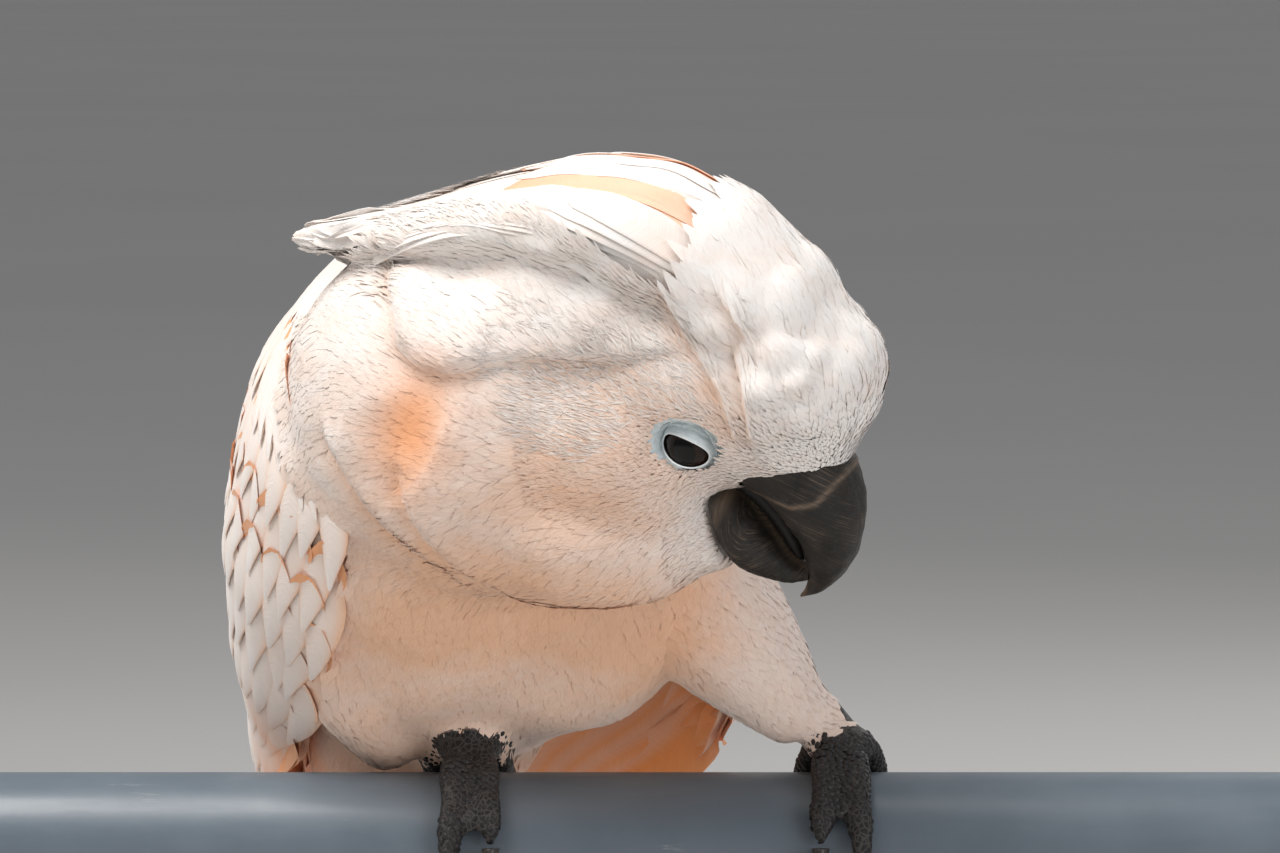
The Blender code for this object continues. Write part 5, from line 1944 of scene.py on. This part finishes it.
class COCKATOO_OT_perch(bpy.types.Operator):
    """Builds the painted rail and its two end caps"""

    bl_idname = "cockatoo.perch"
    bl_label = "Perch"

    def execute(self, context):
        half, middle = box_size("perch_rail")[0] / 2, box_middle("perch_rail")
        profile = [(RAIL_RADIUS - 2.5 * MM, -half), (RAIL_RADIUS - RAIL_EDGE, -half)]
        profile += [(RAIL_RADIUS, RAIL_EDGE - half)]
        profile += [(RAIL_RADIUS, x) for x in np.linspace(-half + 4 * MM, half - 4 * MM, 40)]
        profile += [(radius, -x) for radius, x in profile[2::-1]]
        rail = turned_mesh("rail", profile, around=128, start=middle, axis="X")
        link("rail", rail, rail_material(), ["perch_rail"])
        plastic = plastic_material()
        for side, sign in SIDES:
            node, name = "perch_cap_" + side, "end_cap_" + side
            thick = box_size(node)[0]
            profile = [(0.3 * MM, 0.0), (RAIL_RADIUS - 0.3 * MM, 0.0)]
            profile += rounded_edge(RAIL_RADIUS, thick - 0.3 * MM, 1.2 * MM)
            profile += [(RAIL_RADIUS * 0.55, thick - 0.15 * MM), (0.3 * MM, thick)]
            start = middle * (0, 1, 1) + (sign * (half + CAP_GAP), 0, 0)
            mesh = turned_mesh(name, [(radius, sign * x) for radius, x in profile], 96, start, "X")
            link(name, mesh, plastic, [node])
        return {"FINISHED"}


def slab_mesh(name, low, high, corner, edge):
    """A slab with rounded corners and a softened, stepped top edge."""
    middle, half = (np.array(low) + high) / 2, (np.array(high) - low) / 2
    top = high[2]
    profile = [(1.0 * MM, low[2]), (0.0, low[2] + 1.0 * MM), (0.0, top - edge - 1.2 * MM)]
    profile += [(0.8 * MM, top - edge - 0.6 * MM)]
    profile += [(-inset, height) for inset, height in rounded_edge(-0.8 * MM, top, edge, steps=7)]
    rings = []
    for inset, height in profile:
        ring = []
        for quarter, (x_way, y_way) in enumerate(((1, 1), (-1, 1), (-1, -1), (1, -1))):
            for turn in np.linspace(0, pi / 2, 9) + quarter * pi / 2:
                ring.append((middle[0] + x_way * (half[0] - inset - corner) + corner * cos(turn),
                             middle[1] + y_way * (half[1] - inset - corner) + corner * sin(turn), height))
        rings.append(ring)
    return ring_mesh(name, rings)


def flange_profile(radius, tall):
    """Half the outline of a flange: a rounded disc with a neck that narrows to the rod."""
    profile = [(radius - 0.4 * MM, 0.0), (radius, 0.4 * MM), (radius, tall * 0.45)]
    profile += rounded_edge(radius - 0.6 * MM, tall * 0.62, 1.4 * MM)
    return profile + [(radius * 0.52, tall * 0.64), (radius * 0.46, tall * 0.9), (radius * 0.42, tall)]


class COCKATOO_OT_stand(bpy.types.Operator):
    """Builds the display stand: a stained base, two flanges and two rods"""

    bl_idname = "cockatoo.stand"
    bl_label = "Display stand"

    def execute(self, context):
        base = slab_mesh("stand_plinth", *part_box("stand_base"), corner=6.0 * MM, edge=2.2 * MM)
        link("stand_plinth", base, wood_material(), ["stand_base"])
        steel = steel_material()
        for side, _ in SIDES:
            for kind in ("rod", "flange"):
                node, name = f"stand_{kind}_{side}", f"stand_{kind}_turned_{side}"
                low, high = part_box(node)
                radius, tall = (high.x - low.x) / 2, high.z - low.z
                start = ((low.x + high.x) / 2, (low.y + high.y) / 2, low.z)
                rod_profile = [(radius, z) for z in np.linspace(0, tall, 24)]
                profile = rod_profile if kind == "rod" else flange_profile(radius, tall)
                link(name, turned_mesh(name, profile, 72, start), steel, [node])
        return {"FINISHED"}


def place_in_scene(name, data, place=(0, 0, 0), target=None):
    """Puts a part of the stage in the scene, turned to face its target."""
    thing = bpy.data.objects.new(name, data)
    bpy.context.scene.collection.objects.link(thing)
    thing.location = place
    if target:
        thing.rotation_euler = (Vector(target) - Vector(place)).to_track_quat("-Z", "Y").to_euler()
    return thing


class COCKATOO_OT_stage(bpy.types.Operator):
    """Sets the floor, the studio lights and the camera"""

    bl_idname = "cockatoo.stage"
    bl_label = "Stage"

    def execute(self, context):
        stage = settings("stage")
        turn = circle(96)
        rings = [np.stack([radius * np.cos(turn), radius * np.sin(turn), np.zeros(96)], axis=1)
                 for radius in (0.001, 0.5, 2, 8, 40)]
        floor = place_in_scene("floor", ring_mesh("floor", rings, close=False))
        floor.data.materials.append(floor_material())
        for name, (place, size, power, share, tint) in LAMPS.items():
            lamp = bpy.data.lights.new(name, "AREA")
            lamp.shape = "DISK"
            lamp.size = size
            lamp.energy = share * getattr(stage, power)
            lamp.color = tint
            place_in_scene(name, lamp, place, LAMP_TARGET)
        world = bpy.data.worlds.new("studio")
        world.use_nodes = True
        sky = world.node_tree.nodes["Background"]
        sky.inputs["Color"].default_value = (0.96, 0.97, 1.0, 1.0)
        sky.inputs["Strength"].default_value = stage.sky
        context.scene.world = world
        context.scene.view_settings.view_transform = "Standard"
        camera = bpy.data.cameras.new("camera")
        camera.lens = stage.lens
        camera.sensor_width = 36.0
        camera.clip_start, camera.clip_end = 0.05, 200.0
        back = Vector((0.0, cos(CAMERA_DROP), -sin(CAMERA_DROP))) * stage.distance
        context.scene.camera = place_in_scene("camera", camera, Vector(AIM) - back, AIM)
        return {"FINISHED"}


# ---- the add-on
OPERATORS = (
    COCKATOO_OT_skin, COCKATOO_OT_eyes, COCKATOO_OT_bill, COCKATOO_OT_claws, COCKATOO_OT_scales,
    COCKATOO_OT_face, COCKATOO_OT_silk, COCKATOO_OT_forehead, COCKATOO_OT_ruff, COCKATOO_OT_trunk,
    COCKATOO_OT_thighs, COCKATOO_OT_wings, COCKATOO_OT_tail, COCKATOO_OT_crest, COCKATOO_OT_perch,
    COCKATOO_OT_stand, COCKATOO_OT_stage,
)
GROUPS = {
    "plumage": PlumageSettings, "skin": SkinSettings, "horn": HornSettings, "perch": PerchSettings,
    "stage": StageSettings,
}


class COCKATOO_PT_panel(bpy.types.Panel):
    """Lists the sizes and colours of the model, and the steps that build it"""

    bl_idname = "COCKATOO_PT_panel"
    bl_label = "Museum Cockatoo"
    bl_space_type = "VIEW_3D"
    bl_region_type = "UI"
    bl_category = "Cockatoo"

    def draw(self, context):
        for name, group in GROUPS.items():
            box = self.layout.box()
            box.label(text=name.capitalize())
            for field in group.__annotations__:
                box.prop(settings(name), field)
        for operator in OPERATORS:
            self.layout.operator(operator.bl_idname)


def register():
    for group in GROUPS.values():
        bpy.utils.register_class(group)
    for name, group in GROUPS.items():
        setattr(bpy.types.Scene, "cockatoo_" + name, PointerProperty(type=group))
    for made in (*OPERATORS, COCKATOO_PT_panel):
        bpy.utils.register_class(made)


def unregister():
    for made in (COCKATOO_PT_panel, *OPERATORS[::-1]):
        bpy.utils.unregister_class(made)
    for name, group in GROUPS.items():
        delattr(bpy.types.Scene, "cockatoo_" + name)
        bpy.utils.unregister_class(group)


def main():
    register()
    for operator in OPERATORS:
        group, step = operator.bl_idname.split(".")
        getattr(getattr(bpy.ops, group), step)()


if __name__ == "__main__":
    main()
